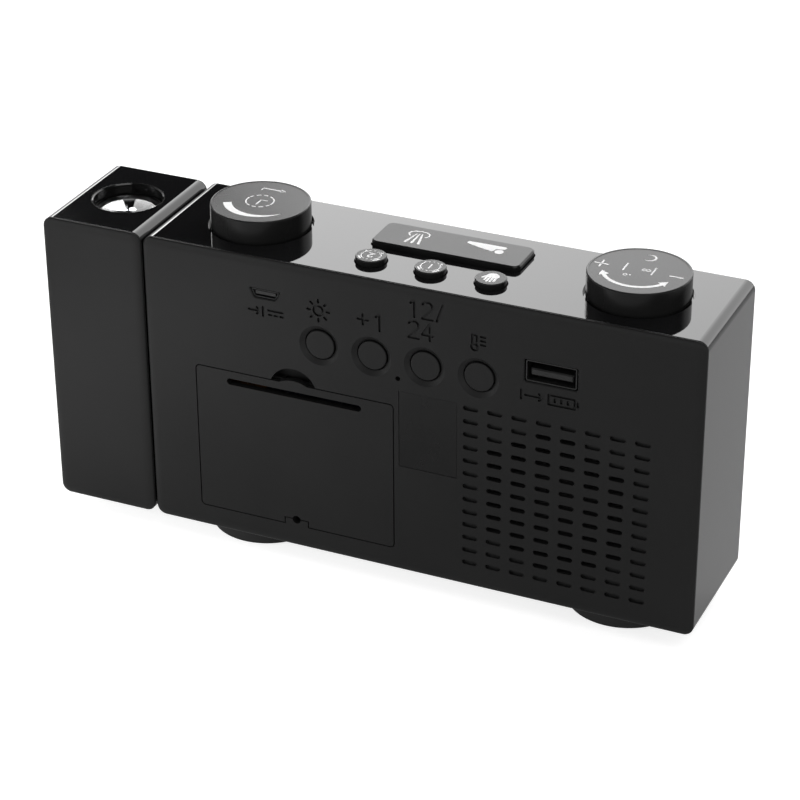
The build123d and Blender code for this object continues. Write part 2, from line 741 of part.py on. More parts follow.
with BuildPart() as rear_cover:
    add(main_cover_blank)
    # Long posts to the front chassis
    with BuildSketch(upright(cover_y)):
        with Locations(*post_points):
            Circle(post_radius)
    extrude(amount=cover_y - chassis_back_y)
    with BuildSketch(upright(chassis_back_y + post_pilot_depth)):
        with Locations(*post_points):
            Circle(screw_radius)
    extrude(amount=post_pilot_depth, mode=Mode.SUBTRACT)
    # Bosses for the rear board
    with BuildSketch(upright(cover_y)):
        with Locations(*rear_screw_points):
            Circle(speaker_boss_radius)
            Circle(screw_radius, mode=Mode.SUBTRACT)
    extrude(amount=cover_y - rear_board_y)
    # Speaker ring and its three bosses
    with BuildSketch(upright(cover_y)):
        with Locations((speaker_x, speaker_z)):
            Circle(speaker_radius + move_gap + speaker_ring_wall)
        with Locations(*speaker_screw_points):
            Circle(speaker_boss_radius)
        with Locations((speaker_x, speaker_z)):
            Circle(speaker_radius + move_gap, mode=Mode.SUBTRACT)
        with Locations(*speaker_screw_points):
            Circle(screw_radius, mode=Mode.SUBTRACT)
    extrude(amount=cover_y - speaker_back_y)
    # Battery bay: outside, then inside
    with BuildSketch(upright(cover_y)):
        with Locations((door_x, bay_mid_z)):
            Rectangle(bay_width + 2 * bay_wall, bay_top_z - bay_bottom_z + 2 * bay_wall)
    extrude(amount=cover_y - bay_floor_y + bay_wall)
    with BuildSketch(upright(cover_y)):
        with Locations((door_x, bay_mid_z)):
            Rectangle(bay_width, bay_top_z - bay_bottom_z)
    extrude(amount=cover_y - bay_floor_y, mode=Mode.SUBTRACT)
    # Cup of the thumb notch, on top of the battery bay
    with BuildSketch(upright(cover_y)):
        with Locations((door_x, notch_center_z)):
            Circle(thumb_notch_radius + thumb_cup_wall)
        with Locations((door_x, bay_top_z + bay_wall)):
            Rectangle(bay_width, bay_width, align=(Align.CENTER, Align.MAX), mode=Mode.SUBTRACT)
    extrude(amount=cover_y - notch_floor_y + thumb_cup_wall)
    # Seat of the door, with the tongue left standing at its bottom edge
    with BuildSketch(upright(rear_y)):
        with Locations((door_x, door_z)):
            RectangleRounded(
                door_width + 2 * door_gap, door_height + 2 * door_gap, door_corner_radius + door_gap
            )
        with Locations((door_x, bump_center_z)):
            Circle(bump_radius + door_gap)
        with Locations((door_x, door_bottom_z - door_gap)):
            Rectangle(
                tongue_width,
                tongue_rise + door_gap,
                align=(Align.CENTER, Align.MIN),
                mode=Mode.SUBTRACT,
            )
    extrude(amount=door_thickness, mode=Mode.SUBTRACT)
    seat_floor = cover_thickness - door_thickness
    with BuildSketch(upright(door_back_y)):
        with Locations((door_x, door_bottom_z - door_gap)):
            Rectangle(bay_width, bay_top_z - door_bottom_z + door_gap, align=(Align.CENTER, Align.MIN))
            Rectangle(
                tongue_width,
                tongue_rise + door_gap,
                align=(Align.CENTER, Align.MIN),
                mode=Mode.SUBTRACT,
            )
    extrude(amount=seat_floor, mode=Mode.SUBTRACT)
    with BuildSketch(upright(rear_y)):
        with Locations((door_x, door_bottom_z + tongue_rise)):
            Circle(tongue_hole_radius)
    extrude(amount=cover_thickness, mode=Mode.SUBTRACT)
    # Keeper of the latch, open through the top wall of the bay
    with BuildSketch(upright(door_back_y)):
        with Locations((door_x, latch_z)):
            Rectangle(
                latch_width + 2 * move_gap,
                door_top_z + door_gap - latch_z,
                align=(Align.CENTER, Align.MIN),
            )
    extrude(amount=latch_depth + move_gap, mode=Mode.SUBTRACT)
    # Thumb notch over the latch
    with BuildSketch(upright(rear_y)):
        with Locations((door_x, notch_center_z)):
            Circle(thumb_notch_radius)
        with Locations((door_x, notch_bottom_z)):
            Rectangle(bay_width, bay_width, align=(Align.CENTER, Align.MAX), mode=Mode.SUBTRACT)
    extrude(amount=thumb_notch_depth, mode=Mode.SUBTRACT)
    # Rear buttons: a bevelled dish, then the bore
    with BuildSketch(upright(rear_y)):
        with Locations(*[(x, rear_key_z) for x in rear_key_xs]):
            Circle(rear_bore_radius)
    extrude(amount=cover_thickness, mode=Mode.SUBTRACT)
    for x in rear_key_xs:
        with Locations(Location((x, rear_y - rear_bevel_depth / 2, rear_key_z), (-90, 0, 0))):
            Cone(rear_bore_radius, rear_bevel_radius, rear_bevel_depth, mode=Mode.SUBTRACT)
    # Reset pinhole and port openings
    with BuildSketch(upright(rear_y)):
        with Locations((reset_x, reset_z)):
            Circle(reset_radius)
        with Locations((usb_x, usb_z)):
            RectangleRounded(*usb_opening, usb_opening_corner)
    extrude(amount=cover_thickness, mode=Mode.SUBTRACT)
    with BuildSketch(upright(rear_y)) as micro_cut:
        with Locations((micro_x, micro_z)):
            Trapezoid(*micro_opening, micro_side_angle, rotation=180)
        fillet(micro_cut.vertices().sort_by(Axis.Y)[2:], micro_upper_radius)
        fillet(micro_cut.vertices().sort_by(Axis.Y)[:2], micro_lower_radius)
    extrude(amount=cover_thickness, mode=Mode.SUBTRACT)
    for port_x, port_z, opening in ((usb_x, usb_z, usb_opening), (micro_x, micro_z, micro_opening)):
        rim_edges = rear_cover.faces().sort_by(Axis.Y)[-1].edges()
        rim_edges = rim_edges.filter_by_position(Axis.X, port_x - opening[0] / 2, port_x + opening[0] / 2)
        rim_edges = rim_edges.filter_by_position(Axis.Z, port_z - opening[1] / 2, port_z + opening[1] / 2)
        chamfer(rim_edges, port_bevel)
    # Grille
    with BuildSketch(upright(rear_y)):
        with Locations(*through_slots):
            SlotOverall(*grille_slot)
    extrude(amount=cover_thickness, mode=Mode.SUBTRACT)
    with BuildSketch(upright(rear_y)):
        with Locations(*blind_slots):
            SlotOverall(*grille_slot)
    extrude(amount=blind_slot_depth, mode=Mode.SUBTRACT)
    # Thinner wall in front of the cone, inside the gasket
    with BuildSketch(upright(cover_y + grille_relief_depth)):
        with Locations((speaker_x, speaker_z)):
            Circle(grille_relief_radius)
    extrude(amount=grille_relief_depth, mode=Mode.SUBTRACT)
    # Pocket of the label panel
    with BuildSketch(upright(rear_y)):
        with Locations((label_x, label_z)):
            Rectangle(*label_size)
    extrude(amount=label_pocket, mode=Mode.SUBTRACT)
    # Engraved marks
    with BuildSketch(upright(rear_y)):
        sun_mark((rear_key_xs[0], upper_mark_z))
        plus_one_mark((rear_key_xs[1], upper_mark_z))
        hour_mark((rear_key_xs[2], upper_mark_z))
        thermometer_mark((rear_key_xs[3], upper_mark_z))
        power_in_mark((micro_x, power_in_mark_z))
        power_out_mark((usb_x, power_out_mark_z))
    extrude(amount=engraving_depth, mode=Mode.SUBTRACT)
write(rear_cover, "rear_cover")

with BuildPart() as label_plate:
    with BuildSketch(upright(rear_y - label_pocket + label_thickness)):
        with Locations((label_x, label_z)):
            Rectangle(label_size[0] - 2 * fit_gap, label_size[1] - 2 * fit_gap)
    extrude(amount=label_thickness)
write(label_plate, "label_plate")

# ---------------------------------------------------------------------------------------------
# Front: window, chassis and display
# ---------------------------------------------------------------------------------------------
with BuildPart() as front_window:
    with BuildSketch(upright(window_back_y)):
        with Locations((body_mid_x, mid_z)):
            RectangleRounded(
                body_length - 2 * (window_rim + fit_gap), body_height - 2 * (window_rim + fit_gap), window_rim
            )
    extrude(amount=window_thickness)
write(front_window, "front_window")

with BuildPart() as front_chassis:
    with BuildSketch(upright(chassis_back_y)):
        with Locations((body_mid_x, mid_z)):
            Rectangle(inner_length - 2 * fit_gap, inner_height - 2 * fit_gap)
            Rectangle(display_length + 2 * fit_gap, display_height + 2 * fit_gap, mode=Mode.SUBTRACT)
        with Locations(*post_points):
            Circle(screw_radius, mode=Mode.SUBTRACT)
    extrude(amount=chassis_thickness)
    with BuildSketch(upright(chassis_front_y + screw_head_height)):
        with Locations(*post_points):
            Circle(screw_head_radius + fit_gap)
    extrude(amount=screw_head_height, mode=Mode.SUBTRACT)
write(front_chassis, "front_chassis")

with BuildPart() as display_block:
    with BuildSketch(upright(board_face_y)):
        with Locations((body_mid_x, mid_z)):
            Rectangle(display_length, display_height)
        with Locations(*main_screw_points):
            Circle(screw_radius, mode=Mode.SUBTRACT)
    extrude(amount=display_depth - segment_relief)
write(display_block, "display_block")

with BuildPart() as display_digits:
    with BuildSketch(upright(chassis_front_y + segment_relief)):
        for index, character in enumerate("1208"):
            side = -1 if index < 2 else 1
            digit_x = body_mid_x + (index - 1.5) * digit_pitch + side * colon_space
            display_numeral(character, digit_x, clock_row_z, 1.0)
        with Locations((body_mid_x, clock_row_z + colon_rise), (body_mid_x, clock_row_z - colon_rise)):
            Circle(digit_stroke / 2)
        for index, character in enumerate("23"):
            small_x = small_row_x + index * digit_pitch * small_digit_scale
            display_numeral(character, small_x, small_row_z, small_digit_scale)
        degree_x = small_row_x + 2 * digit_pitch * small_digit_scale - degree_shift
        with Locations((degree_x, small_row_z + degree_rise)):
            Circle(degree_radius)
            Circle(degree_radius - degree_width, mode=Mode.SUBTRACT)
    extrude(amount=segment_relief)
write(display_digits, "display_digits")

# ---------------------------------------------------------------------------------------------
# Boards and what stands on them
# ---------------------------------------------------------------------------------------------
with BuildPart() as main_board:
    with BuildSketch(upright(board_face_y + board_thickness)):
        with Locations((body_mid_x, mid_z)):
            Rectangle(display_length + 2 * board_margin_x, display_height + 2 * board_margin_z)
        with Locations(*main_screw_points):
            Circle(screw_radius, mode=Mode.SUBTRACT)
    extrude(amount=board_thickness)
write(main_board, "main_board")

main_board_back_y = board_face_y + board_thickness

with BuildPart() as board_components:
    # Flat packages: controller, memory, audio amplifier, charger
    for chip_x, chip_z, chip_width, chip_height, chip_thickness in (
        (-20.0, 44.0, 12.0, 12.0, 1.4),
        (-42.0, 60.0, 6.0, 5.0, 1.2),
        (5.0, 24.0, 8.0, 6.0, 1.6),
        (24.0, 58.0, 7.0, 7.0, 1.0),
    ):
        with BuildSketch(upright(main_board_back_y + chip_thickness)):
            with Locations((chip_x, chip_z)):
                Rectangle(chip_width, chip_height)
        extrude(amount=chip_thickness)
    # Electrolytic capacitors and the crystal
    for can_x, can_z, can_radius, can_height in (
        (-58.0, 62.0, 3.2, 6.0),
        (-66.0, 62.0, 3.2, 6.0),
        (38.0, 60.0, 4.0, 7.0),
        (-4.0, 58.0, 1.6, 2.5),
    ):
        with BuildSketch(upright(main_board_back_y + can_height)):
            with Locations((can_x, can_z)):
                Circle(can_radius)
        extrude(amount=can_height)
write(board_components, "board_components")

with BuildPart() as top_board:
    with BuildSketch(Plane.XY.offset(top_board_z)):
        with Locations((control_mid_x, top_board_y)):
            Rectangle(*top_board_size)
        with Locations(*top_screw_points):
            Circle(screw_radius, mode=Mode.SUBTRACT)
    extrude(amount=top_board_thickness)
write(top_board, "top_board")

top_switch_points = [(x, small_key_y) for x in small_key_xs]
top_switch_points += [(control_mid_x + offset, bar_y) for offset in (-bar_stem_spread, bar_stem_spread)]

with BuildPart() as top_switches:
    with BuildSketch(Plane.XY.offset(board_top_z)):
        with Locations(*top_switch_points):
            Rectangle(switch_size, switch_size)
    extrude(amount=switch_top_z - switch_plunger_height - board_top_z)
    with BuildSketch(Plane.XY.offset(switch_top_z - switch_plunger_height)):
        with Locations(*top_switch_points):
            Circle(switch_plunger_radius)
    extrude(amount=switch_plunger_height)
write(top_switches, "top_switches")

with BuildPart() as rear_board:
    with BuildSketch(upright(rear_board_y)):
        with Locations((rear_board_mid_x, rear_board_mid_z)):
            Rectangle(*rear_board_size)
        with Locations(*rear_screw_points):
            Circle(screw_radius, mode=Mode.SUBTRACT)
    extrude(amount=board_thickness)
write(rear_board, "rear_board")

rear_switch_points = [(x, rear_key_z) for x in rear_key_xs]

with BuildPart() as rear_switches:
    with BuildSketch(upright(rear_switch_top_y - switch_plunger_height)):
        with Locations(*rear_switch_points):
            Rectangle(switch_size, switch_size)
        with Locations((reset_x, reset_z)):
            Rectangle(reset_switch_size, reset_switch_size)
    extrude(amount=rear_switch_top_y - switch_plunger_height - rear_board_y)
    with BuildSketch(upright(rear_switch_top_y)):
        with Locations(*rear_switch_points):
            Circle(switch_plunger_radius)
        with Locations((reset_x, reset_z)):
            Circle(reset_radius)
    extrude(amount=switch_plunger_height)
write(rear_switches, "rear_switches")


def build_encoder(label, x):
    """Rotary encoder with a push switch: a square body and a round bushing, bored through."""
    with BuildPart() as encoder:
        with BuildSketch(Plane.XY.offset(board_top_z)):
            with Locations((x, control_y)):
                RectangleRounded(encoder_size, encoder_size, encoder_corner)
        extrude(amount=encoder_height)
        with BuildSketch(Plane.XY.offset(board_top_z + encoder_height)):
            with Locations((x, control_y)):
                Circle(bushing_radius)
        extrude(amount=bushing_top_z - board_top_z - encoder_height)
        with BuildSketch(Plane.XY.offset(plunger_floor_z)):
            with Locations((x, control_y)):
                Circle(shaft_radius + running_gap)
        extrude(amount=bushing_top_z - plunger_floor_z, mode=Mode.SUBTRACT)
    write(encoder, label)


def build_plunger(label, x):
    """Disc at the bottom of an encoder's bore: it slides with the knob but doesn't turn."""
    with BuildPart() as plunger:
        with BuildSketch(Plane.XY.offset(plunger_bottom_z)):
            with Locations((x, control_y)):
                Circle(shaft_radius - plunger_clearance)
        extrude(amount=plunger_height)
        fillet(plunger.edges().group_by(Axis.Z)[0], plunger_edge_radius)
    write(plunger, label)


def build_shaft(label, x):
    """Encoder shaft with a flat on its upper end, which drives the knob."""
    with BuildPart() as shaft:
        with BuildSketch(Plane.XY.offset(shaft_bottom_z)):
            with Locations((x, control_y)):
                Circle(shaft_radius)
        extrude(amount=shaft_top_z - shaft_bottom_z)
        with BuildSketch(Plane.XY.offset(hub_bottom_z)):
            with Locations((x, control_y + shaft_flat)):
                Rectangle(2 * shaft_radius, shaft_radius, align=(Align.CENTER, Align.MIN))
        extrude(amount=shaft_top_z - hub_bottom_z, mode=Mode.SUBTRACT)
    write(shaft, label)


def build_knob(label, x):
    """Hollow round knob with a hub that fits the flatted shaft."""
    with BuildPart() as knob:
        with BuildSketch(Plane.XY.offset(knob_bottom_z)):
            with Locations((x, control_y)):
                Circle(knob_radius)
        extrude(amount=knob_top_z - knob_bottom_z)
        fillet(knob.edges().group_by(Axis.Z)[-1], knob_edge_radius)
        # Shallow recess that keeps the printed face below the rim
        with BuildSketch(Plane.XY.offset(knob_top_z)):
            with Locations((x, control_y)):
                Circle(knob_radius - knob_face_inset)
        extrude(amount=-knob_face_depth, mode=Mode.SUBTRACT)
        with BuildSketch(Plane.XY.offset(knob_bottom_z)):
            with Locations((x, control_y)):
                Circle(knob_radius - knob_skirt)
        extrude(amount=knob_top_z - knob_crown - knob_bottom_z, mode=Mode.SUBTRACT)
        with BuildSketch(Plane.XY.offset(hub_bottom_z)):
            with Locations((x, control_y)):
                Circle(hub_radius)
                Circle(shaft_radius + press_gap, mode=Mode.SUBTRACT)
            with Locations((x, control_y + shaft_flat + press_gap)):
                Rectangle(2 * shaft_radius, hub_flat_depth, align=(Align.CENTER, Align.MIN))
        extrude(amount=knob_top_z - knob_crown - hub_bottom_z)
    write(knob, label)


for side_label, side_x in (("enter", enter_x), ("volume", volume_x)):
    build_encoder(f"{side_label}_encoder", side_x)
    build_plunger(f"{side_label}_plunger", side_x)
    build_shaft(f"{side_label}_shaft", side_x)
    build_knob(f"{side_label}_knob", side_x)

# ---------------------------------------------------------------------------------------------
# Buttons
# ---------------------------------------------------------------------------------------------
with BuildPart() as snooze_bar:
    with BuildSketch(Plane.XY.offset(flange_top_z)):
        with Locations((control_mid_x, bar_y)):
            RectangleRounded(bar_length, bar_width, bar_corner_radius)
    extrude(amount=key_top_z - flange_top_z)
    chamfer(snooze_bar.faces().sort_by(Axis.Z)[-1].edges(), bar_edge_chamfer)
    with BuildSketch(Plane.XY.offset(flange_bottom_z)):
        with Locations((control_mid_x, bar_y)):
            RectangleRounded(bar_length + 2 * key_flange, bar_width + 2 * key_flange, bar_corner_radius)
    extrude(amount=key_flange_thickness)
    with BuildSketch(Plane.XY.offset(stem_bottom_z)):
        with Locations((control_mid_x - bar_stem_spread, bar_y), (control_mid_x + bar_stem_spread, bar_y)):
            Circle(key_stem_radius)
    extrude(amount=flange_bottom_z - stem_bottom_z)
write(snooze_bar, "snooze_bar")


def build_small_key(label, x):
    """Round top button with a retaining flange under the housing's top."""
    with BuildPart() as key:
        with BuildSketch(Plane.XY.offset(flange_top_z)):
            with Locations((x, small_key_y)):
                Circle(small_key_radius)
        extrude(amount=key_top_z - flange_top_z)
        fillet(key.faces().sort_by(Axis.Z)[-1].edges(), small_key_edge)
        with BuildSketch(Plane.XY.offset(flange_bottom_z)):
            with Locations((x, small_key_y)):
                Circle(small_key_radius + key_flange)
        extrude(amount=key_flange_thickness)
        with BuildSketch(Plane.XY.offset(stem_bottom_z)):
            with Locations((x, small_key_y)):
                Circle(key_stem_radius)
        extrude(amount=flange_bottom_z - stem_bottom_z)
    write(key, label)


for key_label, key_x in zip(("alarm_2_button", "alarm_1_button", "hand_button"), small_key_xs):
    build_small_key(key_label, key_x)


def build_rear_key(label, x):
    """Round rear button: a cap in its bore, a flange behind the cover and a stem to the switch."""
    with BuildPart() as key:
        with BuildSketch(upright(rear_y - rear_key_depth)):
            with Locations((x, rear_key_z)):
                Circle(rear_key_radius)
        extrude(amount=rear_y - rear_key_depth - rear_flange_y)
        fillet(key.faces().sort_by(Axis.Y)[-1].edges(), small_key_edge)
        with BuildSketch(upright(rear_flange_y)):
            with Locations((x, rear_key_z)):
                Circle(rear_key_radius + key_flange)
        extrude(amount=key_flange_thickness)
        with BuildSketch(upright(rear_flange_y - key_flange_thickness)):
            with Locations((x, rear_key_z)):
                Circle(key_stem_radius)
        extrude(amount=rear_flange_y - key_flange_thickness - rear_stem_y)
    write(key, label)


for number, key_x in enumerate(rear_key_xs, start=1):
    build_rear_key(f"rear_button_{number}", key_x)

# ---------------------------------------------------------------------------------------------
# Ports
# ---------------------------------------------------------------------------------------------
with BuildPart() as usb_a_shell:
    with BuildSketch(upright(port_face_y)):
        with Locations((usb_x, usb_z)):
            RectangleRounded(*usb_outer, usb_outer_corner)
    extrude(amount=port_face_y - rear_board_y)
    with BuildSketch(upright(port_face_y)):
        with Locations((usb_x, usb_z)):
            RectangleRounded(
                usb_outer[0] - 2 * usb_wall, usb_outer[1] - 2 * usb_wall, usb_outer_corner - usb_wall
            )
    extrude(amount=port_face_y - rear_board_y - usb_base, mode=Mode.SUBTRACT)
write(usb_a_shell, "usb_a_shell")

with BuildPart() as usb_a_tongue:
    with BuildSketch(upright(port_face_y - usb_tongue_inset)):
        with Locations((usb_x, usb_z - usb_tongue_drop)):
            Rectangle(*usb_tongue)
    extrude(amount=port_face_y - usb_tongue_inset - rear_board_y - usb_base)
    chamfer(usb_a_tongue.faces().sort_by(Axis.Y)[-1].edges(), usb_tongue_bevel)
write(usb_a_tongue, "usb_a_tongue")

with BuildPart() as micro_usb_shell:
    with BuildSketch(upright(port_face_y)) as micro_section:
        with Locations((micro_x, micro_z)):
            Trapezoid(*micro_outer, micro_side_angle, rotation=180)
        fillet(micro_section.vertices().sort_by(Axis.Y)[2:], micro_upper_radius)
        fillet(micro_section.vertices().sort_by(Axis.Y)[:2], micro_lower_radius)
    extrude(amount=micro_length)
    with BuildSketch(upright(port_face_y)):
        with Locations((micro_x, micro_z)):
            Trapezoid(
                micro_outer[0] - 3 * micro_wall,
                micro_outer[1] - 2 * micro_wall,
                micro_side_angle,
                rotation=180,
            )
    extrude(amount=micro_length - micro_wall, mode=Mode.SUBTRACT)
write(micro_usb_shell, "micro_usb_shell")

with BuildPart() as micro_usb_tongue:
    with BuildSketch(upright(port_face_y - micro_tongue_inset)):
        with Locations((micro_x, micro_z + micro_tongue_rise)):
            Rectangle(*micro_tongue)
    extrude(amount=micro_length - micro_wall - micro_tongue_inset)
write(micro_usb_tongue, "micro_usb_tongue")

# ---------------------------------------------------------------------------------------------
# Speaker
# ---------------------------------------------------------------------------------------------
speaker_axis = Axis((speaker_x, 0, speaker_z), (0, 1, 0))


def speaker_profile_plane():
    """Plane through the speaker's axis: local x is the radius, along X, and local y is Y."""
    return Plane(origin=(speaker_x, 0, speaker_z), x_dir=(1, 0, 0), z_dir=(0, 0, 1))


with BuildPart() as speaker_frame:
    with BuildSketch(speaker_profile_plane()):
        with BuildLine():
            Polyline(
                (basket_bore_radius, speaker_front_y),
                (speaker_radius, speaker_front_y),
                (speaker_radius, speaker_back_y),
                (basket_rim_radius, speaker_back_y),
                (magnet_radius + basket_floor_reach, cone_back_y),
                (magnet_radius + basket_floor_reach, cone_back_y - basket_floor),
                (0, cone_back_y - basket_floor),
                (0, cone_back_y),
                (magnet_radius, cone_back_y),
                (basket_bore_radius, speaker_back_y),
                close=True,
            )
        make_face()
    revolve(axis=speaker_axis)
write(speaker_frame, "speaker_frame")

# Rim, rolled surround, cone, dust cap and voice coil in one profile
cone_rim_y = speaker_front_y + cone_sheet
neck_y = cone_back_y + cone_neck_rise
coil_end_y = cone_back_y + coil_wall
cap_sphere = (cone_neck_radius**2 + cap_rise**2) / (2 * cap_rise)
cap_inner_radius = cone_neck_radius - coil_wall
cap_inner_y = neck_y - coil_wall
cap_inner_sphere = (cap_inner_radius**2 + cap_rise**2) / (2 * cap_rise)
roll_start, roll_middle, roll_end = surround_radii
sheet_edge = 0.3 * cone_sheet

with BuildPart() as speaker_cone:
    with BuildSketch(speaker_profile_plane()):
        with BuildLine():
            Polyline(
                (roll_end + sheet_edge, speaker_front_y),
                (cone_rim_radius, speaker_front_y),
                (cone_rim_radius, cone_rim_y),
                (roll_end, cone_rim_y),
            )
            ThreePointArc(
                (roll_end, cone_rim_y), (roll_middle, cone_rim_y - surround_sag), (roll_start, cone_rim_y)
            )
            Polyline(
                (roll_start, cone_rim_y), (roll_start - cone_sheet, cone_rim_y), (cone_neck_radius, neck_y)
            )
            RadiusArc((cone_neck_radius, neck_y), (0, neck_y + cap_rise), -cap_sphere)
            Line((0, neck_y + cap_rise), (0, cap_inner_y + cap_rise))
            RadiusArc((0, cap_inner_y + cap_rise), (cap_inner_radius, cap_inner_y), cap_inner_sphere)
            Polyline(
                (cap_inner_radius, cap_inner_y),
                (cap_inner_radius, coil_end_y),
                (cone_neck_radius, coil_end_y),
                (cone_neck_radius, cap_inner_y),
                (roll_start - sheet_edge, speaker_front_y),
            )
            ThreePointArc(
                (roll_start - sheet_edge, speaker_front_y),
                (roll_middle, speaker_front_y - surround_sag),
                (roll_end + sheet_edge, speaker_front_y),
            )
        make_face()
    revolve(axis=speaker_axis)
write(speaker_cone, "speaker_cone")

with BuildPart() as speaker_magnet:
    with BuildSketch(upright(cone_back_y - basket_floor)):
        with Locations((speaker_x, speaker_z)):
            Circle(magnet_radius)
    extrude(amount=magnet_depth)
    chamfer(speaker_magnet.faces().sort_by(Axis.Y)[0].edges(), magnet_bevel)
write(speaker_magnet, "speaker_magnet")

with BuildPart() as speaker_gasket:
    with BuildSketch(upright(cover_y)):
        with Locations((speaker_x, speaker_z)):
            Circle(speaker_radius)
            Circle(gasket_inner_radius, mode=Mode.SUBTRACT)
    extrude(amount=gasket_thickness)
write(speaker_gasket, "speaker_gasket")

# ---------------------------------------------------------------------------------------------
# Battery door, cells and contacts
# ---------------------------------------------------------------------------------------------
with BuildPart() as battery_door:
    with BuildSketch(upright(rear_y)):
        with Locations((door_x, door_z)):
            RectangleRounded(door_width, door_height, door_corner_radius)
        with Locations((door_x, bump_center_z)):
            Circle(bump_radius)
        with Locations((door_x, door_slot_z)):
            SlotOverall(*door_slot, mode=Mode.SUBTRACT)
        with Locations((door_x, door_bottom_z)):
            Rectangle(
                tongue_width + 2 * door_gap,
                tongue_rise + door_gap,
                align=(Align.CENTER, Align.MIN),
                mode=Mode.SUBTRACT,
            )
        with Locations((door_x, door_bottom_z + tongue_rise)):
            Circle(tongue_hole_radius, mode=Mode.SUBTRACT)
    extrude(amount=door_thickness)
    # The lower inside edge is bevelled, so that it clears the cover's ledge as the door swings
    inside_edges = battery_door.faces().sort_by(Axis.Y)[0].edges()
    chamfer(
        inside_edges.filter_by_position(Axis.Z, door_bottom_z - 0.1, door_bottom_z + door_corner_radius),
        door_inner_bevel,
    )
    # Latch nib on the springy strip above the slot, drawn as it stands when pressed
    with BuildSketch(upright(door_back_y)):
        with Locations((door_x, latch_z)):
            Rectangle(latch_width, latch_height, align=(Align.CENTER, Align.MIN))
    extrude(amount=latch_depth)
    chamfer(battery_door.faces().sort_by(Axis.Y)[0].edges().sort_by(Axis.Z)[-1], latch_chamfer)
    # Stiffening ribs on the inside
    with BuildSketch(upright(door_back_y)):
        with Locations((door_x - door_rib_spread, door_z), (door_x + door_rib_spread, door_z)):
            Rectangle(door_rib_width, door_rib_length)
    extrude(amount=door_rib_height)
    # Hooks behind the cover's lower edge: a block on the door, then a lip that reaches down
    with BuildSketch(upright(door_back_y)):
        with Locations((door_x - door_hook_spread, hook_z), (door_x + door_hook_spread, hook_z)):
            Rectangle(door_hook_width, hook_height)
    extrude(amount=hook_depth)
    with BuildSketch(upright(cover_y - move_gap)):
        with Locations((door_x - door_hook_spread, hook_lip_z), (door_x + door_hook_spread, hook_lip_z)):
            Rectangle(door_hook_width, hook_lip_height)
    extrude(amount=hook_depth - (door_back_y - cover_y) - move_gap)
write(battery_door, "battery_door")

cell_zs = [bay_mid_z + cell_pitch * step for step in (1, 0, -1)]

for number, cell_z in enumerate(cell_zs, start=1):
    facing = 1 if number % 2 else -1
    nub_tip_x = door_x + facing * (bay_width / 2 - contact_thickness)
    with BuildPart() as battery:
        with BuildSketch(Plane.YZ.offset(nub_tip_x - facing * cell_nub_length)):
            with Locations((cell_y, cell_z)):
                Circle(cell_radius)
        extrude(amount=-facing * (cell_length - cell_nub_length))
        chamfer(battery.edges().filter_by(GeomType.CIRCLE), cell_edge)
        with BuildSketch(Plane.YZ.offset(nub_tip_x)):
            with Locations((cell_y, cell_z)):
                Circle(cell_nub_radius)
        extrude(amount=-facing * cell_nub_length)
    write(battery, f"battery_{number}")

with BuildPart() as battery_contacts:
    for end_x, inward in ((bay_left_x, 1), (bay_right_x, -1)):
        with BuildSketch(Plane.YZ.offset(end_x)):
            with Locations(*[(cell_y, z) for z in cell_zs]):
                Rectangle(contact_size, contact_size)
        extrude(amount=inward * contact_thickness)
write(battery_contacts, "battery_contacts")

with BuildPart() as battery_springs:
    for number, cell_z in enumerate(cell_zs, start=1):
        facing = 1 if number % 2 else -1
        plate_x = door_x - facing * (bay_width / 2 - contact_thickness)
        cell_end_x = door_x + facing * (bay_width / 2 - contact_thickness - cell_length)
        spring_start = (plate_x + facing * spring_wire, cell_y, cell_z)
        spring_height = abs(cell_end_x - plate_x) - 2 * spring_wire
        with BuildLine():
            coil = Helix(
                spring_pitch, spring_height, spring_radius, center=spring_start, direction=(facing, 0, 0)
            )
        with BuildSketch(Plane(origin=coil @ 0, z_dir=coil % 0)):
            Circle(spring_wire)
        sweep(path=coil)
write(battery_springs, "battery_springs")

# ---------------------------------------------------------------------------------------------
# Feet
# ---------------------------------------------------------------------------------------------
foot_points = {"foot_left": volume_x, "foot_right": enter_x}

for foot_label, foot_x in foot_points.items():
    with BuildPart() as foot:
        with BuildSketch(Plane.XY.offset(foot_lift)):
            with Locations((foot_x, 0)):
                Circle(foot_radius)
        extrude(amount=foot_height - foot_lift)
        fillet(foot.edges().group_by(Axis.Z)[0], foot_edge_radius)
        with BuildSketch(Plane.XY.offset(foot_lift)):
            with Locations((foot_x, 0)):
                Circle(pad_radius + fit_gap)
        extrude(amount=pad_thickness - foot_lift, mode=Mode.SUBTRACT)
        with Locations((foot_x, 0, pad_thickness)):
            Cylinder(
                screw_head_radius + fit_gap,
                foot_screw_head_z - pad_thickness,
                align=(Align.CENTER, Align.CENTER, Align.MIN),
                mode=Mode.SUBTRACT,
            )
            Cylinder(
                screw_radius,
                foot_height,
                align=(Align.CENTER, Align.CENTER, Align.MIN),
                mode=Mode.SUBTRACT,
            )
    write(foot, foot_label)

with BuildPart() as foot_pads:
    with BuildSketch(Plane.XY):
        with Locations(*[(x, 0) for x in foot_points.values()]):
            Circle(pad_radius)
    extrude(amount=pad_thickness)
write(foot_pads, "foot_pads")

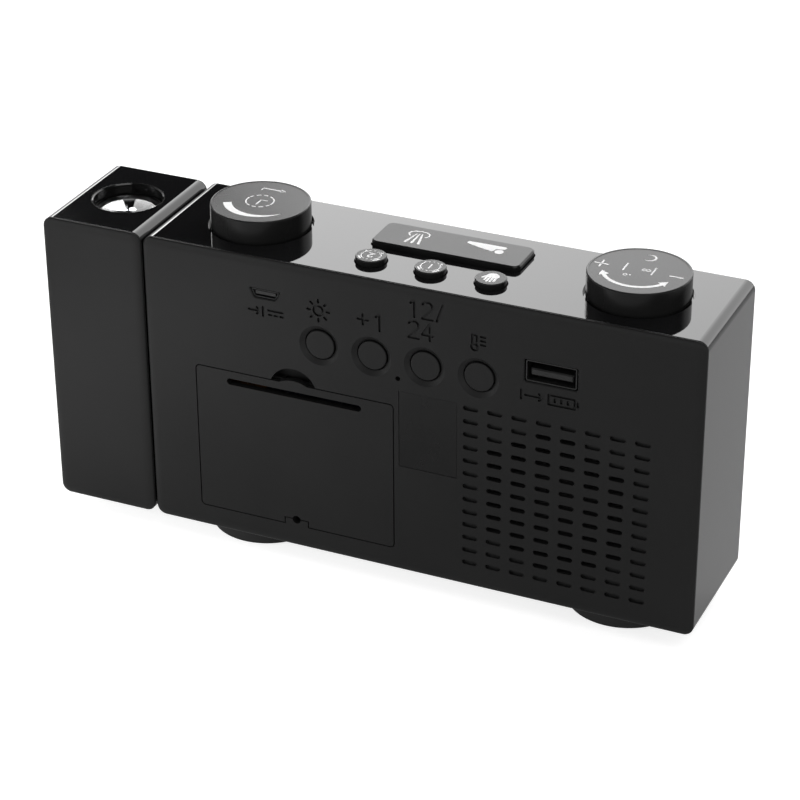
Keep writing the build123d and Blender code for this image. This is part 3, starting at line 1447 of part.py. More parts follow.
# ---------------------------------------------------------------------------------------------
# Screws
# ---------------------------------------------------------------------------------------------
with BuildPart() as case_screws:
    with BuildSketch(upright(chassis_front_y + screw_head_height)):
        with Locations(*post_points):
            Circle(screw_head_radius)
    extrude(amount=screw_head_height)
    with BuildSketch(upright(chassis_front_y + screw_head_height + case_screw_length)):
        with Locations(*post_points):
            Circle(screw_radius)
    extrude(amount=case_screw_length)
    with BuildSketch(Plane.XY.offset(foot_screw_head_z)):
        with Locations(*[(x, 0) for x in foot_points.values()]):
            Circle(screw_head_radius)
    extrude(amount=-screw_head_height)
    with BuildSketch(Plane.XY.offset(foot_screw_head_z)):
        with Locations(*[(x, 0) for x in foot_points.values()]):
            Circle(screw_radius)
    extrude(amount=case_screw_length)
write(case_screws, "case_screws")


def upright_screws(points, seat_y, length, facing):
    """Screws along Y: heads on the seat, shanks the other way. facing is the side of the heads."""
    with BuildSketch(upright(seat_y + (screw_head_height if facing > 0 else 0))) as heads:
        with Locations(*points):
            Circle(screw_head_radius)
    with BuildSketch(upright(seat_y + (0 if facing > 0 else length))) as shanks:
        with Locations(*points):
            Circle(screw_radius)
    extrude(heads.sketch, amount=screw_head_height)
    extrude(shanks.sketch, amount=length)


with BuildPart() as board_screws:
    upright_screws(main_screw_points, main_board_back_y, board_thickness + main_screw_bite, 1)
    upright_screws(rear_screw_points, rear_board_y - board_thickness, board_thickness + rear_screw_bite, -1)
    upright_screws(speaker_screw_points, speaker_back_y, speaker_flange + gasket_thickness, -1)
    with BuildSketch(Plane.XY.offset(top_board_z)):
        with Locations(*top_screw_points):
            Circle(screw_head_radius)
    extrude(amount=-screw_head_height)
    with BuildSketch(Plane.XY.offset(top_board_z)):
        with Locations(*top_screw_points):
            Circle(screw_radius)
    extrude(amount=top_board_thickness + top_screw_bite)
write(board_screws, "board_screws")

# ---------------------------------------------------------------------------------------------
# Projector block
# ---------------------------------------------------------------------------------------------
with BuildPart() as projector_shell:
    with BuildSketch(upright(sleeve_y)):
        with Locations((proj_mid_x, mid_z)):
            RectangleRounded(proj_length, body_height, corner_radius)
    extrude(amount=sleeve_y - front_y)
    fillet(projector_shell.faces().sort_by(Axis.Y)[0].edges(), front_edge_radius)
    fillet(projector_shell.faces().sort_by(Axis.Y)[-1].edges(), sleeve_edge_radius)
    with BuildSketch(upright(sleeve_y)):
        with Locations((proj_mid_x, mid_z)):
            Rectangle(proj_length - 2 * proj_wall, body_height - 2 * proj_wall)
    extrude(amount=sleeve_y - front_y - proj_wall, mode=Mode.SUBTRACT)
    with BuildSketch(Plane.XY.offset(top_z)):
        with Locations((lens_x, lens_y)):
            Circle(lens_hole_radius)
    extrude(amount=-proj_wall, mode=Mode.SUBTRACT)
    with BuildSketch(Plane.YZ.offset(proj_left_x)):
        with Locations((0, mid_z)):
            Circle(tube_outer_radius + press_gap)
    extrude(amount=proj_wall, mode=Mode.SUBTRACT)
write(projector_shell, "projector_shell")

projector_cover_blank = cover_blank(proj_length, proj_mid_x, proj_wall)

with BuildPart() as projector_cover:
    add(projector_cover_blank)
write(projector_cover, "projector_cover")

lens_axis = Axis((lens_x, lens_y, 0), (0, 0, 1))

with BuildPart() as lens_ring:
    with BuildSketch(radial(lens_x, lens_y)):
        with BuildLine():
            Polyline(
                (ring_bore_radius, ring_flange_z - ring_flange_thickness),
                (barrel_radius, ring_flange_z - ring_flange_thickness),
                (barrel_radius, ring_flange_z),
                (ring_radius, ring_flange_z),
                (ring_radius, top_z + ring_proud),
                (ring_bore_radius + ring_bevel, top_z + ring_proud),
                (ring_bore_radius, top_z + ring_proud - ring_bevel),
                close=True,
            )
        make_face()
    revolve(axis=lens_axis)
write(lens_ring, "lens_ring")

lens_seat_z = lens_top_z - lens_edge
barrel_top_z = ring_flange_z - ring_flange_thickness

with BuildPart() as projection_lens:
    with BuildSketch(radial(lens_x, lens_y)):
        with BuildLine():
            front = RadiusArc((0, lens_top_z + lens_dome), (lens_radius, lens_top_z), lens_sphere)
            edge = Line(front @ 1, (lens_radius, lens_seat_z))
            inner_edge = Line(edge @ 1, (lens_bore_radius, lens_seat_z))
            back = RadiusArc(inner_edge @ 1, (0, lens_seat_z - lens_back_dome), lens_back_sphere)
            Line(back @ 1, front @ 0)
        make_face()
    revolve(axis=lens_axis)
write(projection_lens, "projection_lens")

with BuildPart() as lens_barrel:
    with BuildSketch(Plane.XY.offset(barrel_bottom_z)):
        with Locations((lens_x, lens_y)):
            Circle(barrel_radius)
            Circle(barrel_bore_radius, mode=Mode.SUBTRACT)
    extrude(amount=barrel_top_z - barrel_bottom_z)
    with BuildSketch(Plane.XY.offset(lens_seat_z)):
        with Locations((lens_x, lens_y)):
            Circle(lens_radius + running_gap)
    extrude(amount=barrel_top_z - lens_seat_z, mode=Mode.SUBTRACT)
    # Seats of the condenser lens and of the image slide
    for seat_z in (condenser_seat_z, slide_seat_z):
        with BuildSketch(Plane.XY.offset(seat_z)):
            with Locations((lens_x, lens_y)):
                Circle(barrel_bore_radius)
                Circle(barrel_bore_radius - ledge_reach, mode=Mode.SUBTRACT)
        extrude(amount=-ledge_thickness)
write(lens_barrel, "lens_barrel")

with BuildPart() as condenser_lens:
    with BuildSketch(radial(lens_x, lens_y)):
        with BuildLine():
            Polyline(
                (0, condenser_seat_z),
                (condenser_radius, condenser_seat_z),
                (condenser_radius, condenser_rim_z),
            )
            RadiusArc((condenser_radius, condenser_rim_z), (0, condenser_top_z), -condenser_sphere)
            Line((0, condenser_top_z), (0, condenser_seat_z))
        make_face()
    revolve(axis=lens_axis)
write(condenser_lens, "condenser_lens")

with BuildPart() as image_slide:
    with BuildSketch(Plane.XY.offset(slide_seat_z)):
        with Locations((lens_x, lens_y)):
            Rectangle(slide_size, slide_size)
    extrude(amount=slide_thickness)
write(image_slide, "image_slide")

with BuildPart() as led_board:
    with BuildSketch(Plane.XY.offset(barrel_bottom_z - board_thickness)):
        with Locations((lens_x, lens_y)):
            RectangleRounded(*led_board_size, led_board_corner)
    extrude(amount=board_thickness)
write(led_board, "led_board")

with BuildPart() as projector_led:
    with BuildSketch(Plane.XY.offset(barrel_bottom_z)):
        with Locations((lens_x, lens_y)):
            Rectangle(led_base_size, led_base_size)
    extrude(amount=led_base_height)
    with Locations((lens_x, lens_y, barrel_bottom_z + led_base_height)):
        Sphere(led_dome_radius, arc_size1=0)
write(projector_led, "projector_led")

pivot_axis = Axis((0, 0, mid_z), (1, 0, 0))
flange_face_x = proj_left_x + proj_wall
clip_inner_x = body_right_x - wall - bearing_length - move_gap
groove_radius = tube_outer_radius - groove_depth

with BuildPart() as pivot_tube:
    with BuildSketch(Plane.XY.offset(mid_z)):
        with BuildLine():
            Polyline(
                (clip_inner_x - clip_thickness - clip_shoulder, tube_inner_radius),
                (clip_inner_x - clip_thickness - clip_shoulder, tube_outer_radius),
                (clip_inner_x - clip_thickness, tube_outer_radius),
                (clip_inner_x - clip_thickness, groove_radius),
                (clip_inner_x, groove_radius),
                (clip_inner_x, tube_outer_radius),
                (flange_face_x, tube_outer_radius),
                (flange_face_x, tube_flange_radius),
                (flange_face_x + tube_flange_thickness, tube_flange_radius),
                (flange_face_x + tube_flange_thickness, tube_inner_radius),
                close=True,
            )
        make_face()
    revolve(axis=pivot_axis)
write(pivot_tube, "pivot_tube")

with BuildPart() as pivot_clip:
    with BuildSketch(Plane.YZ.offset(clip_inner_x - clip_thickness)):
        with Locations((0, mid_z)):
            Circle(clip_radius)
            Circle(groove_radius + press_gap, mode=Mode.SUBTRACT)
        with Locations((0, mid_z - clip_radius)):
            Rectangle(2 * groove_radius - clip_mouth_margin, clip_radius, mode=Mode.SUBTRACT)
    extrude(amount=clip_thickness)
write(pivot_clip, "pivot_clip")

with BuildPart() as friction_washer:
    with BuildSketch(Plane.YZ.offset(body_right_x)):
        with Locations((0, mid_z)):
            Circle(washer_radius)
            Circle(tube_outer_radius + fit_gap, mode=Mode.SUBTRACT)
    extrude(amount=washer_thickness)
write(friction_washer, "friction_washer")
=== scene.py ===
"""Looks of the projection alarm clock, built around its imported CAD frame.

Plan coordinates of the printed marks are millimetres in the frame: +X is the projector's end, +Y the back.
Most marks on the top are read from the front, with their upper side at +Y.
"""
import json
from math import atan2, cos, degrees, hypot, pi, radians, sin, sqrt

import bmesh
import bpy
from mathutils import Matrix, Vector


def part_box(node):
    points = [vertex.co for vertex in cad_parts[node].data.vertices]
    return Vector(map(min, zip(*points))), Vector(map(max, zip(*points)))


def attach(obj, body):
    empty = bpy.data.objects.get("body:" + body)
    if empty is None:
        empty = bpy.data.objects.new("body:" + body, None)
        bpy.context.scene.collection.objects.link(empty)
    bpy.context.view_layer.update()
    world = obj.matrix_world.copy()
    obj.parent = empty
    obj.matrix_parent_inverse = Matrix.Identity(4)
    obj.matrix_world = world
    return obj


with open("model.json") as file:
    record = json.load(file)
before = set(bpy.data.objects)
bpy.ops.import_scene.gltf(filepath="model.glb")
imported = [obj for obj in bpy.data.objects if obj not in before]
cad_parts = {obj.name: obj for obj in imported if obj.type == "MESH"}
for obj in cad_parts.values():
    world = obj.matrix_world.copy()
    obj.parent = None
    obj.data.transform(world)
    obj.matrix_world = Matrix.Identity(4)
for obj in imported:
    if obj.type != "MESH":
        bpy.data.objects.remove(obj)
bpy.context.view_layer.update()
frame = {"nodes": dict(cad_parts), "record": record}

MM = 0.001

# Camera
camera_place = (-0.25417, 0.55862, 0.37632)
camera_target = (-0.00262, 0.0, 0.04393)
camera_roll = radians(-0.334)
camera_lens = 121.4
camera_sensor = 36.0
camera_near = 0.01

# Key light
key_light_place = (0.14, 0.155, 0.065)
key_light_target = (0.03, 0.0, 0.05)
key_light_size = 0.12
key_light_power = 0.21

# Floor: its two close tones, and its glow where the camera or a mirror sees it
floor_radius = 6.0
floor_sides = 64
floor_drop = 0.0001
floor_tones = (0.59, 0.61)
floor_patch_mm = 120
seen_glow = 0.75
mirrored_glow = 0.13

# Noise mostly stays between these values
noise_low = 0.3
noise_high = 0.7

# Prints, in millimetres: how far they sink into and rise over their surface
print_sink = 0.01
print_rise = 0.03

# Depth of a knob's face below its rim, in millimetres
knob_face_depth = 0.08

# Widths of most printed lines, in millimetres
thin_line = 0.32
thick_line = 0.42


def plan_centre(node):
    """Middle of a node seen from above, in millimetres."""
    low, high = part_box(node)
    return ((low.x + high.x) / 2 / MM, (low.y + high.y) / 2 / MM)


def top_height(node):
    """Height of a node's top, in millimetres."""
    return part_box(node)[1].z / MM


def grey(level):
    return (level, level, level)


# ---------------------------------------------------------------------------------------------
# Node tools
# ---------------------------------------------------------------------------------------------
class Nodes:
    """A node tree, with short calls for what the materials and the sky share."""

    def __init__(self, tree):
        self.tree = tree

    def add(self, kind):
        return self.tree.nodes.new(kind)

    def link(self, source, target):
        self.tree.links.new(source, target)

    def math(self, operation, *values):
        """A calculation with numbers and other nodes' outputs."""
        node = self.add("ShaderNodeMath")
        node.operation = operation
        for socket, value in zip(node.inputs, values):
            if isinstance(value, (int, float)):
                socket.default_value = value
            else:
                self.link(value, socket)
        return node.outputs["Value"]

    def remap(self, value, low, high, start=noise_low, end=noise_high, kind="LINEAR"):
        """The value from start..end brought to low..high."""
        node = self.add("ShaderNodeMapRange")
        node.interpolation_type = kind
        node.inputs["From Min"].default_value = start
        node.inputs["From Max"].default_value = end
        node.inputs["To Min"].default_value = low
        node.inputs["To Max"].default_value = high
        self.link(value, node.inputs["Value"])
        return node.outputs["Result"]


class Look(Nodes):
    """One material."""

    def __init__(self, name):
        self.material = bpy.data.materials.new(name)
        self.material.use_nodes = True
        super().__init__(self.material.node_tree)
        self.shader = self.tree.nodes["Principled BSDF"]
        self.place = self.add("ShaderNodeTexCoord").outputs["Object"]

    def fix(self, **values):
        """Constant values on the shader's own sockets, with _ for a space in the name."""
        for key, value in values.items():
            self.shader.inputs[key.replace("_", " ")].default_value = value

    def stretched(self, scale):
        """The object coordinates, scaled differently along each axis."""
        mapping = self.add("ShaderNodeMapping")
        mapping.inputs["Scale"].default_value = scale
        self.link(self.place, mapping.inputs["Vector"])
        return mapping.outputs["Vector"]

    def noise(self, size_mm, detail, place=None):
        """Noise with features of about that size."""
        noise = self.add("ShaderNodeTexNoise")
        noise.inputs["Scale"].default_value = 1 / (size_mm * MM)
        noise.inputs["Detail"].default_value = detail
        self.link(place or self.place, noise.inputs["Vector"])
        return noise.outputs["Fac"]

    def tones(self, value, stops):
        """Colours along a value: stops are (position, (r, g, b))."""
        ramp = self.add("ShaderNodeValToRGB")
        elements = ramp.color_ramp.elements
        while len(elements) < len(stops):
            elements.new(0.5)
        for element, (position, colour) in zip(elements, stops):
            element.position = position
            element.color = (*colour, 1.0)
        self.link(value, ramp.inputs["Fac"])
        return ramp.outputs["Color"]

    def blend(self, value, dark, light, start=noise_low, end=noise_high):
        """From the first colour to the second as the value goes from start to end."""
        return self.tones(value, [(start, dark), (end, light)])

    def colour(self, output):
        self.link(output, self.shader.inputs["Base Color"])

    def roughness(self, output):
        self.link(output, self.shader.inputs["Roughness"])

    def bump(self, height, depth_mm):
        bump = self.add("ShaderNodeBump")
        bump.inputs["Strength"].default_value = 1.0
        bump.inputs["Distance"].default_value = depth_mm * MM
        self.link(height, bump.inputs["Height"])
        self.link(bump.outputs["Normal"], self.shader.inputs["Normal"])


# ---------------------------------------------------------------------------------------------
# Materials
# ---------------------------------------------------------------------------------------------
def moulded(name, dark, light, gloss, grain_mm, grain_depth_mm, patch_mm, specular=0.5):
    """Moulded plastic or rubber: two close greys in soft patches, uneven gloss and a fine grain."""
    look = Look(name)
    patches = look.noise(patch_mm, 3.0)
    grain = look.noise(grain_mm, 2.0)
    look.colour(look.blend(patches, grey(dark), grey(light), 0.35, 0.65))
    look.roughness(look.remap(patches, *gloss))
    look.bump(grain, grain_depth_mm)
    look.fix(Specular_IOR_Level=specular, IOR=1.5)
    return look.material


def metal(name, dark, light, gloss, grain_scale):
    """Rolled or plated metal: streaks along one way, and cloudy tones."""
    look = Look(name)
    streaks = look.noise(0.5, 2.0, look.stretched(grain_scale))
    clouds = look.noise(8, 3.0)
    look.colour(look.blend(clouds, dark, light))
    look.roughness(look.remap(streaks, *gloss))
    look.bump(streaks, 0.002)
    look.fix(Metallic=1.0)
    return look.material


def gloss_black():
    """Polished sleeves: near mirrors, with faint moulding waves and traces of handling."""
    look = Look("gloss_black")
    waves = look.noise(45, 1.0)
    traces = look.noise(9, 4.0, look.stretched((1.0, 0.45, 1.0)))
    look.colour(look.blend(waves, (0.0056, 0.0056, 0.0060), (0.0070, 0.0070, 0.0075)))
    look.roughness(look.remap(traces, 0.025, 0.055))
    look.bump(waves, 0.02)
    look.fix(IOR=1.5)
    return look.material


def matte_black():
    """Rear covers, battery door and rear buttons."""
    return moulded(
        "matte_black", 0.0106, 0.0128, gloss=(0.31, 0.36),
        grain_mm=0.35, grain_depth_mm=0.003, patch_mm=40, specular=0.19,
    )


def key_grey():
    """Painted satin caps of the knobs, the bar and the small top buttons."""
    return moulded(
        "key_grey", 0.0070, 0.0100, gloss=(0.22, 0.27),
        grain_mm=0.28, grain_depth_mm=0.0015, patch_mm=14, specular=0.22,
    )


def smoked_window():
    """Tinted acrylic, faintly streaky."""
    look = Look("smoked_window")
    streaks = look.noise(30, 2.0)
    look.colour(look.blend(streaks, (0.20, 0.21, 0.22), (0.25, 0.26, 0.27)))
    look.roughness(look.remap(streaks, 0.015, 0.035))
    look.fix(IOR=1.49, Transmission_Weight=1.0)
    return look.material


def display_black():
    return moulded(
        "display_black", 0.006, 0.009, gloss=(0.28, 0.36),
        grain_mm=0.5, grain_depth_mm=0.002, patch_mm=25,
    )


def display_lit():
    """Lit segments: a diffuser over light sources, a little brighter in spots."""
    look = Look("display_lit")
    spots = look.noise(3.5, 1.0)
    look.colour(look.blend(spots, (0.60, 0.70, 0.80), (0.75, 0.84, 0.92)))
    glow = look.blend(spots, (0.72, 0.88, 1.0), (0.86, 0.95, 1.0))
    look.link(glow, look.shader.inputs["Emission Color"])
    look.roughness(look.remap(spots, 0.35, 0.5))
    look.fix(Emission_Strength=6.0)
    return look.material


def board_green():
    """Circuit board: solder mask over a pattern of traces, laid out in the upright plane."""
    rows_per_metre = 120.0
    trace_width = 0.07
    look = Look("board_green")
    bricks = look.add("ShaderNodeTexBrick")
    bricks.inputs["Scale"].default_value = rows_per_metre
    bricks.inputs["Mortar Size"].default_value = trace_width
    bricks.inputs["Color1"].default_value = (0.012, 0.075, 0.030, 1)
    bricks.inputs["Color2"].default_value = (0.010, 0.062, 0.026, 1)
    bricks.inputs["Mortar"].default_value = (0.030, 0.140, 0.050, 1)
    turned = look.stretched((1.0, 1.0, 1.0))
    turned.node.inputs["Rotation"].default_value = (radians(90), 0, 0)
    look.link(turned, bricks.inputs["Vector"])
    look.colour(bricks.outputs["Color"])
    look.roughness(look.remap(look.noise(6, 3.0), 0.25, 0.4))
    look.bump(bricks.outputs["Fac"], 0.03)
    return look.material


def port_black():
    """Dark shells and tongues of the two sockets: black plastic tongues, and steel shells coloured with
    the painted shade of their recesses.
    """
    # Painted shade: the steel shells get this near-black colour to stand for the shade inside their
    # pockets.
    return moulded(
        "port_black", 0.010, 0.016, gloss=(0.32, 0.42),
        grain_mm=0.3, grain_depth_mm=0.002, patch_mm=3, specular=0.4,
    )


def component_black():
    return moulded(
        "component_black", 0.012, 0.020, gloss=(0.45, 0.6),
        grain_mm=0.4, grain_depth_mm=0.004, patch_mm=5,
    )


def steel():
    return metal("steel", (0.42, 0.42, 0.43), (0.56, 0.56, 0.57), (0.22, 0.4), (1.0, 0.08, 1.0))


def nickel():
    return metal("nickel", (0.58, 0.56, 0.52), (0.74, 0.72, 0.67), (0.12, 0.25), (0.2, 1.0, 1.0))


def magnet():
    """Zinc plating, which has no grain."""
    return metal("magnet", (0.30, 0.30, 0.29), (0.45, 0.45, 0.42), (0.3, 0.5), (1.0, 1.0, 1.0))


def cone_paper():
    """Coated paper of the loudspeaker cone: long fibres, rougher where they are light."""
    look = Look("cone_paper")
    fibres = look.noise(0.6, 5.0, look.stretched((1.0, 1.0, 0.3)))
    look.colour(look.blend(fibres, grey(0.020), grey(0.040)))
    look.roughness(look.remap(fibres, 0.55, 0.8))
    look.bump(fibres, 0.06)
    return look.material


def foam():
    """Foam and felt: small cells, with painted shade darkening each cell's sunken middle."""
    cell_mm = 0.6
    look = Look("foam")
    cells = look.add("ShaderNodeTexVoronoi")
    cells.inputs["Scale"].default_value = 1 / (cell_mm * MM)
    look.link(look.place, cells.inputs["Vector"])
    distance = cells.outputs["Distance"]
    # Painted shade: the colour darkens towards each cell's middle, where the bump sinks it.
    look.colour(look.blend(distance, grey(0.018), grey(0.045), 0.1, 0.7))
    look.roughness(look.remap(distance, 0.8, 0.95, 0.1, 0.8))
    look.bump(distance, 0.12)
    return look.material


def cell_wrap():
    """Battery sleeve: dark film with a copper-coloured band at one end, and the bare can at both ends."""
    bare_can = (0.55, 0.53, 0.50)
    look = Look("cell_wrap")
    low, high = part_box("battery_1")
    axis = look.add("ShaderNodeSeparateXYZ")
    look.link(look.place, axis.inputs[0])
    along = look.remap(axis.outputs["X"], 0.0, 1.0, low.x, high.x)
    stops = [
        (0.0, bare_can),
        (0.025, (0.020, 0.022, 0.030)),
        (0.66, (0.028, 0.030, 0.040)),
        (0.68, (0.16, 0.075, 0.03)),
        (0.95, (0.13, 0.060, 0.025)),
        (0.97, bare_can),
    ]
    look.colour(look.tones(along, stops))
    scuffs = look.noise(2.5, 4.0)
    look.roughness(look.remap(scuffs, 0.18, 0.34))
    look.bump(scuffs, 0.008)
    return look.material


def label_black():
    """Blank rating panel: satin film, smoother than the cover around it."""
    return moulded(
        "label_black", 0.0040, 0.0056, gloss=(0.24, 0.30),
        grain_mm=0.6, grain_depth_mm=0.001, patch_mm=12, specular=0.25,
    )


def foot_black():
    return moulded(
        "foot_black", 0.009, 0.013, gloss=(0.40, 0.5),
        grain_mm=0.4, grain_depth_mm=0.004, patch_mm=12, specular=0.4,
    )


def pad_rubber():
    return moulded(
        "pad_rubber", 0.020, 0.030, gloss=(0.7, 0.85),
        grain_mm=0.5, grain_depth_mm=0.02, patch_mm=8, specular=0.3,
    )


def lens_glass():
    """Clear glass of the projection and condenser lenses."""
    look = Look("lens_glass")
    film = look.noise(7, 1.0)
    look.colour(look.blend(film, (0.90, 0.93, 0.95), (0.95, 0.96, 0.98)))
    look.roughness(look.remap(film, 0.0, 0.02))
    look.fix(IOR=1.52, Transmission_Weight=1.0)
    return look.material


def slide_film():
    """Image slide: dark film, a little cloudy and otherwise blank."""
    look = Look("slide_film")
    clouds = look.noise(1.6, 1.0)
    look.colour(look.blend(clouds, (0.012, 0.013, 0.018), (0.03, 0.034, 0.045)))
    look.roughness(look.remap(clouds, 0.08, 0.2))
    return look.material


def ring_black():
    return moulded(
        "ring_black", 0.005, 0.008, gloss=(0.09, 0.13),
        grain_mm=0.5, grain_depth_mm=0.0005, patch_mm=6,
    )


def led_white():
    """Pale dome of the projector's light source."""
    look = Look("led_white")
    core = look.noise(1.2, 2.0)
    look.colour(look.blend(core, (0.80, 0.78, 0.60), (0.92, 0.91, 0.80)))
    look.roughness(look.remap(core, 0.15, 0.3))
    return look.material


def ink_white():
    """Printed ink: slightly uneven cover and sheen."""
    look = Look("ink_white")
    cover = look.noise(0.9, 3.0)
    look.colour(look.blend(cover, grey(0.88), grey(0.93)))
    look.roughness(look.remap(cover, 0.42, 0.55))
    look.bump(cover, 0.004)
    return look.material


makers = (
    gloss_black, matte_black, key_grey, smoked_window, display_black, display_lit, board_green,
    port_black, component_black, steel, nickel, magnet, cone_paper, foam, cell_wrap,
    label_black, foot_black, pad_rubber, lens_glass, slide_film, ring_black, led_white, ink_white,
)
materials = {maker.__name__: maker() for maker in makers}


def dress(nodes, slots):
    """Give every CAD node the material of the record's slot that it was packed with."""
    for name, slot in slots.items():
        mesh = nodes[name].data
        mesh.materials.clear()
        mesh.materials.append(materials[slot])


dress(frame["nodes"], {part["node"]: part["material_slot"] for part in frame["record"]["subparts"]})


# ---------------------------------------------------------------------------------------------
# Outlines
# ---------------------------------------------------------------------------------------------
def polar(centre, radius, angle):
    """The point at that distance and angle, in degrees counterclockwise from +X."""
    return (centre[0] + radius * cos(radians(angle)), centre[1] + radius * sin(radians(angle)))


def arc(centre, radius, start, end, steps):
    """Points along an arc, angles in degrees."""
    return [polar(centre, radius, start + (end - start) * step / steps) for step in range(steps + 1)]


def circle(centre, radius, steps):
    return arc(centre, radius, 0, 360, steps)[:-1]


def shifted(points, centre):
    return [(centre[0] + x, centre[1] + y) for x, y in points]


def rounded(points, reach, steps=4):
    """A closed outline with its corners rounded, over that distance at most along each side."""
    outline = []
    for before, corner, after in zip(points[-1:] + points[:-1], points, points[1:] + points[:1]):
        ends = []
        for other in (before, after):
            run = hypot(other[0] - corner[0], other[1] - corner[1])
            share = min(reach, run / 2) / run
            ends.append([corner[axis] + (other[axis] - corner[axis]) * share for axis in (0, 1)])
        pulled = (ends[0], corner, ends[1])
        for step in range(steps + 1):
            t = step / steps
            weights = ((1 - t) ** 2, 2 * t * (1 - t), t * t)
            outline.append([sum(w * point[axis] for w, point in zip(weights, pulled)) for axis in (0, 1)])
    return outline


# ---------------------------------------------------------------------------------------------
# Printed marks
# ---------------------------------------------------------------------------------------------
def add_object(name, data):
    """A new object in the scene."""
    piece = bpy.data.objects.new(name, data)
    bpy.context.scene.collection.objects.link(piece)
    return piece


class Print:
    """Marks of one print: closed slabs a few hundredths of a millimetre thick."""

    def __init__(self, surface_mm):
        self.mesh = bmesh.new()
        self.low = (surface_mm - print_sink) * MM
        self.high = (surface_mm + print_rise) * MM

    def row(self, outline, height):
        return [self.mesh.verts.new((x * MM, y * MM, height)) for x, y in outline]

    def wall(self, first, second):
        """Faces between two closed rows with as many points."""
        for index in range(len(first)):
            after = (index + 1) % len(first)
            self.mesh.faces.new((first[index], first[after], second[after], second[index]))

    def shape(self, outline):
        """A slab inside one closed outline."""
        low = self.row(outline, self.low)
        high = self.row(outline, self.high)
        self.mesh.faces.new(low)
        self.mesh.faces.new(high)
        self.wall(low, high)

    def band(self, outer, inner):
        """A closed ring between two outlines with as many points."""
        rows = [self.row(outer, self.low), self.row(outer, self.high)]
        rows += [self.row(inner, self.high), self.row(inner, self.low)]
        for first, second in zip(rows, rows[1:] + rows[:1]):
            self.wall(first, second)

    def stroke(self, points, width, end_width=None, closed=False):
        """A round-ended band along an open line, or a plain one along a closed line."""
        end_width = width if end_width is None else end_width
        count = len(points)
        left = []
        right = []
        for index, (x, y) in enumerate(points):
            before = points[index - 1] if index or closed else points[0]
            after = points[(index + 1) % count] if index < count - 1 or closed else points[-1]
            run = hypot(after[0] - before[0], after[1] - before[1])
            side = ((before[1] - after[1]) / run, (after[0] - before[0]) / run)
            half = (width + (end_width - width) * index / (count - 1)) / 2
            left.append((x + side[0] * half, y + side[1] * half))
            right.append((x - side[0] * half, y - side[1] * half))
        if closed:
            self.band(left, right)
            return
        tip = self.cap(points[-2], points[-1], end_width / 2)
        tail = self.cap(points[1], points[0], width / 2)
        self.shape(left + tip + right[::-1] + tail)

    def cap(self, before, end, radius, steps=8):
        """Points round a band's end, between its left side and its right."""
        heading = atan2(end[1] - before[1], end[0] - before[0])
        turns = [heading + pi / 2 - pi * step / steps for step in range(1, steps)]
        return [(end[0] + radius * cos(turn), end[1] + radius * sin(turn)) for turn in turns]

    def ring(self, centre, radius, width, steps=18):
        self.stroke(circle(centre, radius, steps), width, closed=True)

    def disc(self, centre, radius, steps):
        self.shape(circle(centre, radius, steps))

    def finish(self, name, body, ink="ink_white"):
        bmesh.ops.recalc_face_normals(self.mesh, faces=self.mesh.faces)
        mesh = bpy.data.meshes.new(name)
        self.mesh.to_mesh(mesh)
        self.mesh.free()
        mesh.materials.append(materials[ink])
        piece = add_object(name, mesh)
        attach(piece, body)


def enter_knob_print():
    """Tapering arc, a clock dial and a return arrow."""
    centre = plan_centre("enter_knob")
    marks = Print(top_height("enter_knob") - knob_face_depth)
    # Arc that tapers from a blunt end to a point
    outer_radius = 9.55
    blunt_width = 2.15
    taper = 1.9
    start = 27
    end = 149
    steps = 40
    outer = arc(centre, outer_radius, start, end, steps)
    inner = []
    for step in range(steps + 1):
        share = step / steps
        reach = outer_radius - blunt_width * (1 - share**taper)
        inner.append(polar(centre, reach, start + (end - start) * share))
    marks.shape(outer + inner[-2::-1])
    # Dial: twelve dashes, longer at the sides, and two hands
    dial = (centre[0] + 0.25, centre[1] - 0.1)
    dial_radius = 3.6
    dash_width = 0.36
    long_hours = (0, 1, 6, 7)
    for hour in range(12):
        middle = hour * 30
        half_dash = 13.5 if hour in long_hours else 7
        marks.stroke(arc(dial, dial_radius, middle - half_dash, middle + half_dash, 6), dash_width)
    marks.stroke(shifted([(0.0, -0.7), (0.0, 2.1)], dial), thick_line)
    marks.stroke(shifted([(0.0, -0.7), (-1.7, -0.7)], dial), thin_line)
    # Return arrow: its bent shaft and its head
    arrow = (centre[0], centre[1] - 7.6)
    marks.stroke(shifted([(3.0, 1.0), (3.0, -0.1), (-2.6, -0.1)], arrow), thick_line)
    marks.shape(shifted([(-3.4, -0.1), (-1.9, 0.75), (-1.9, -0.95)], arrow))
    marks.finish("enter_knob_print", "enter_turn_knob")


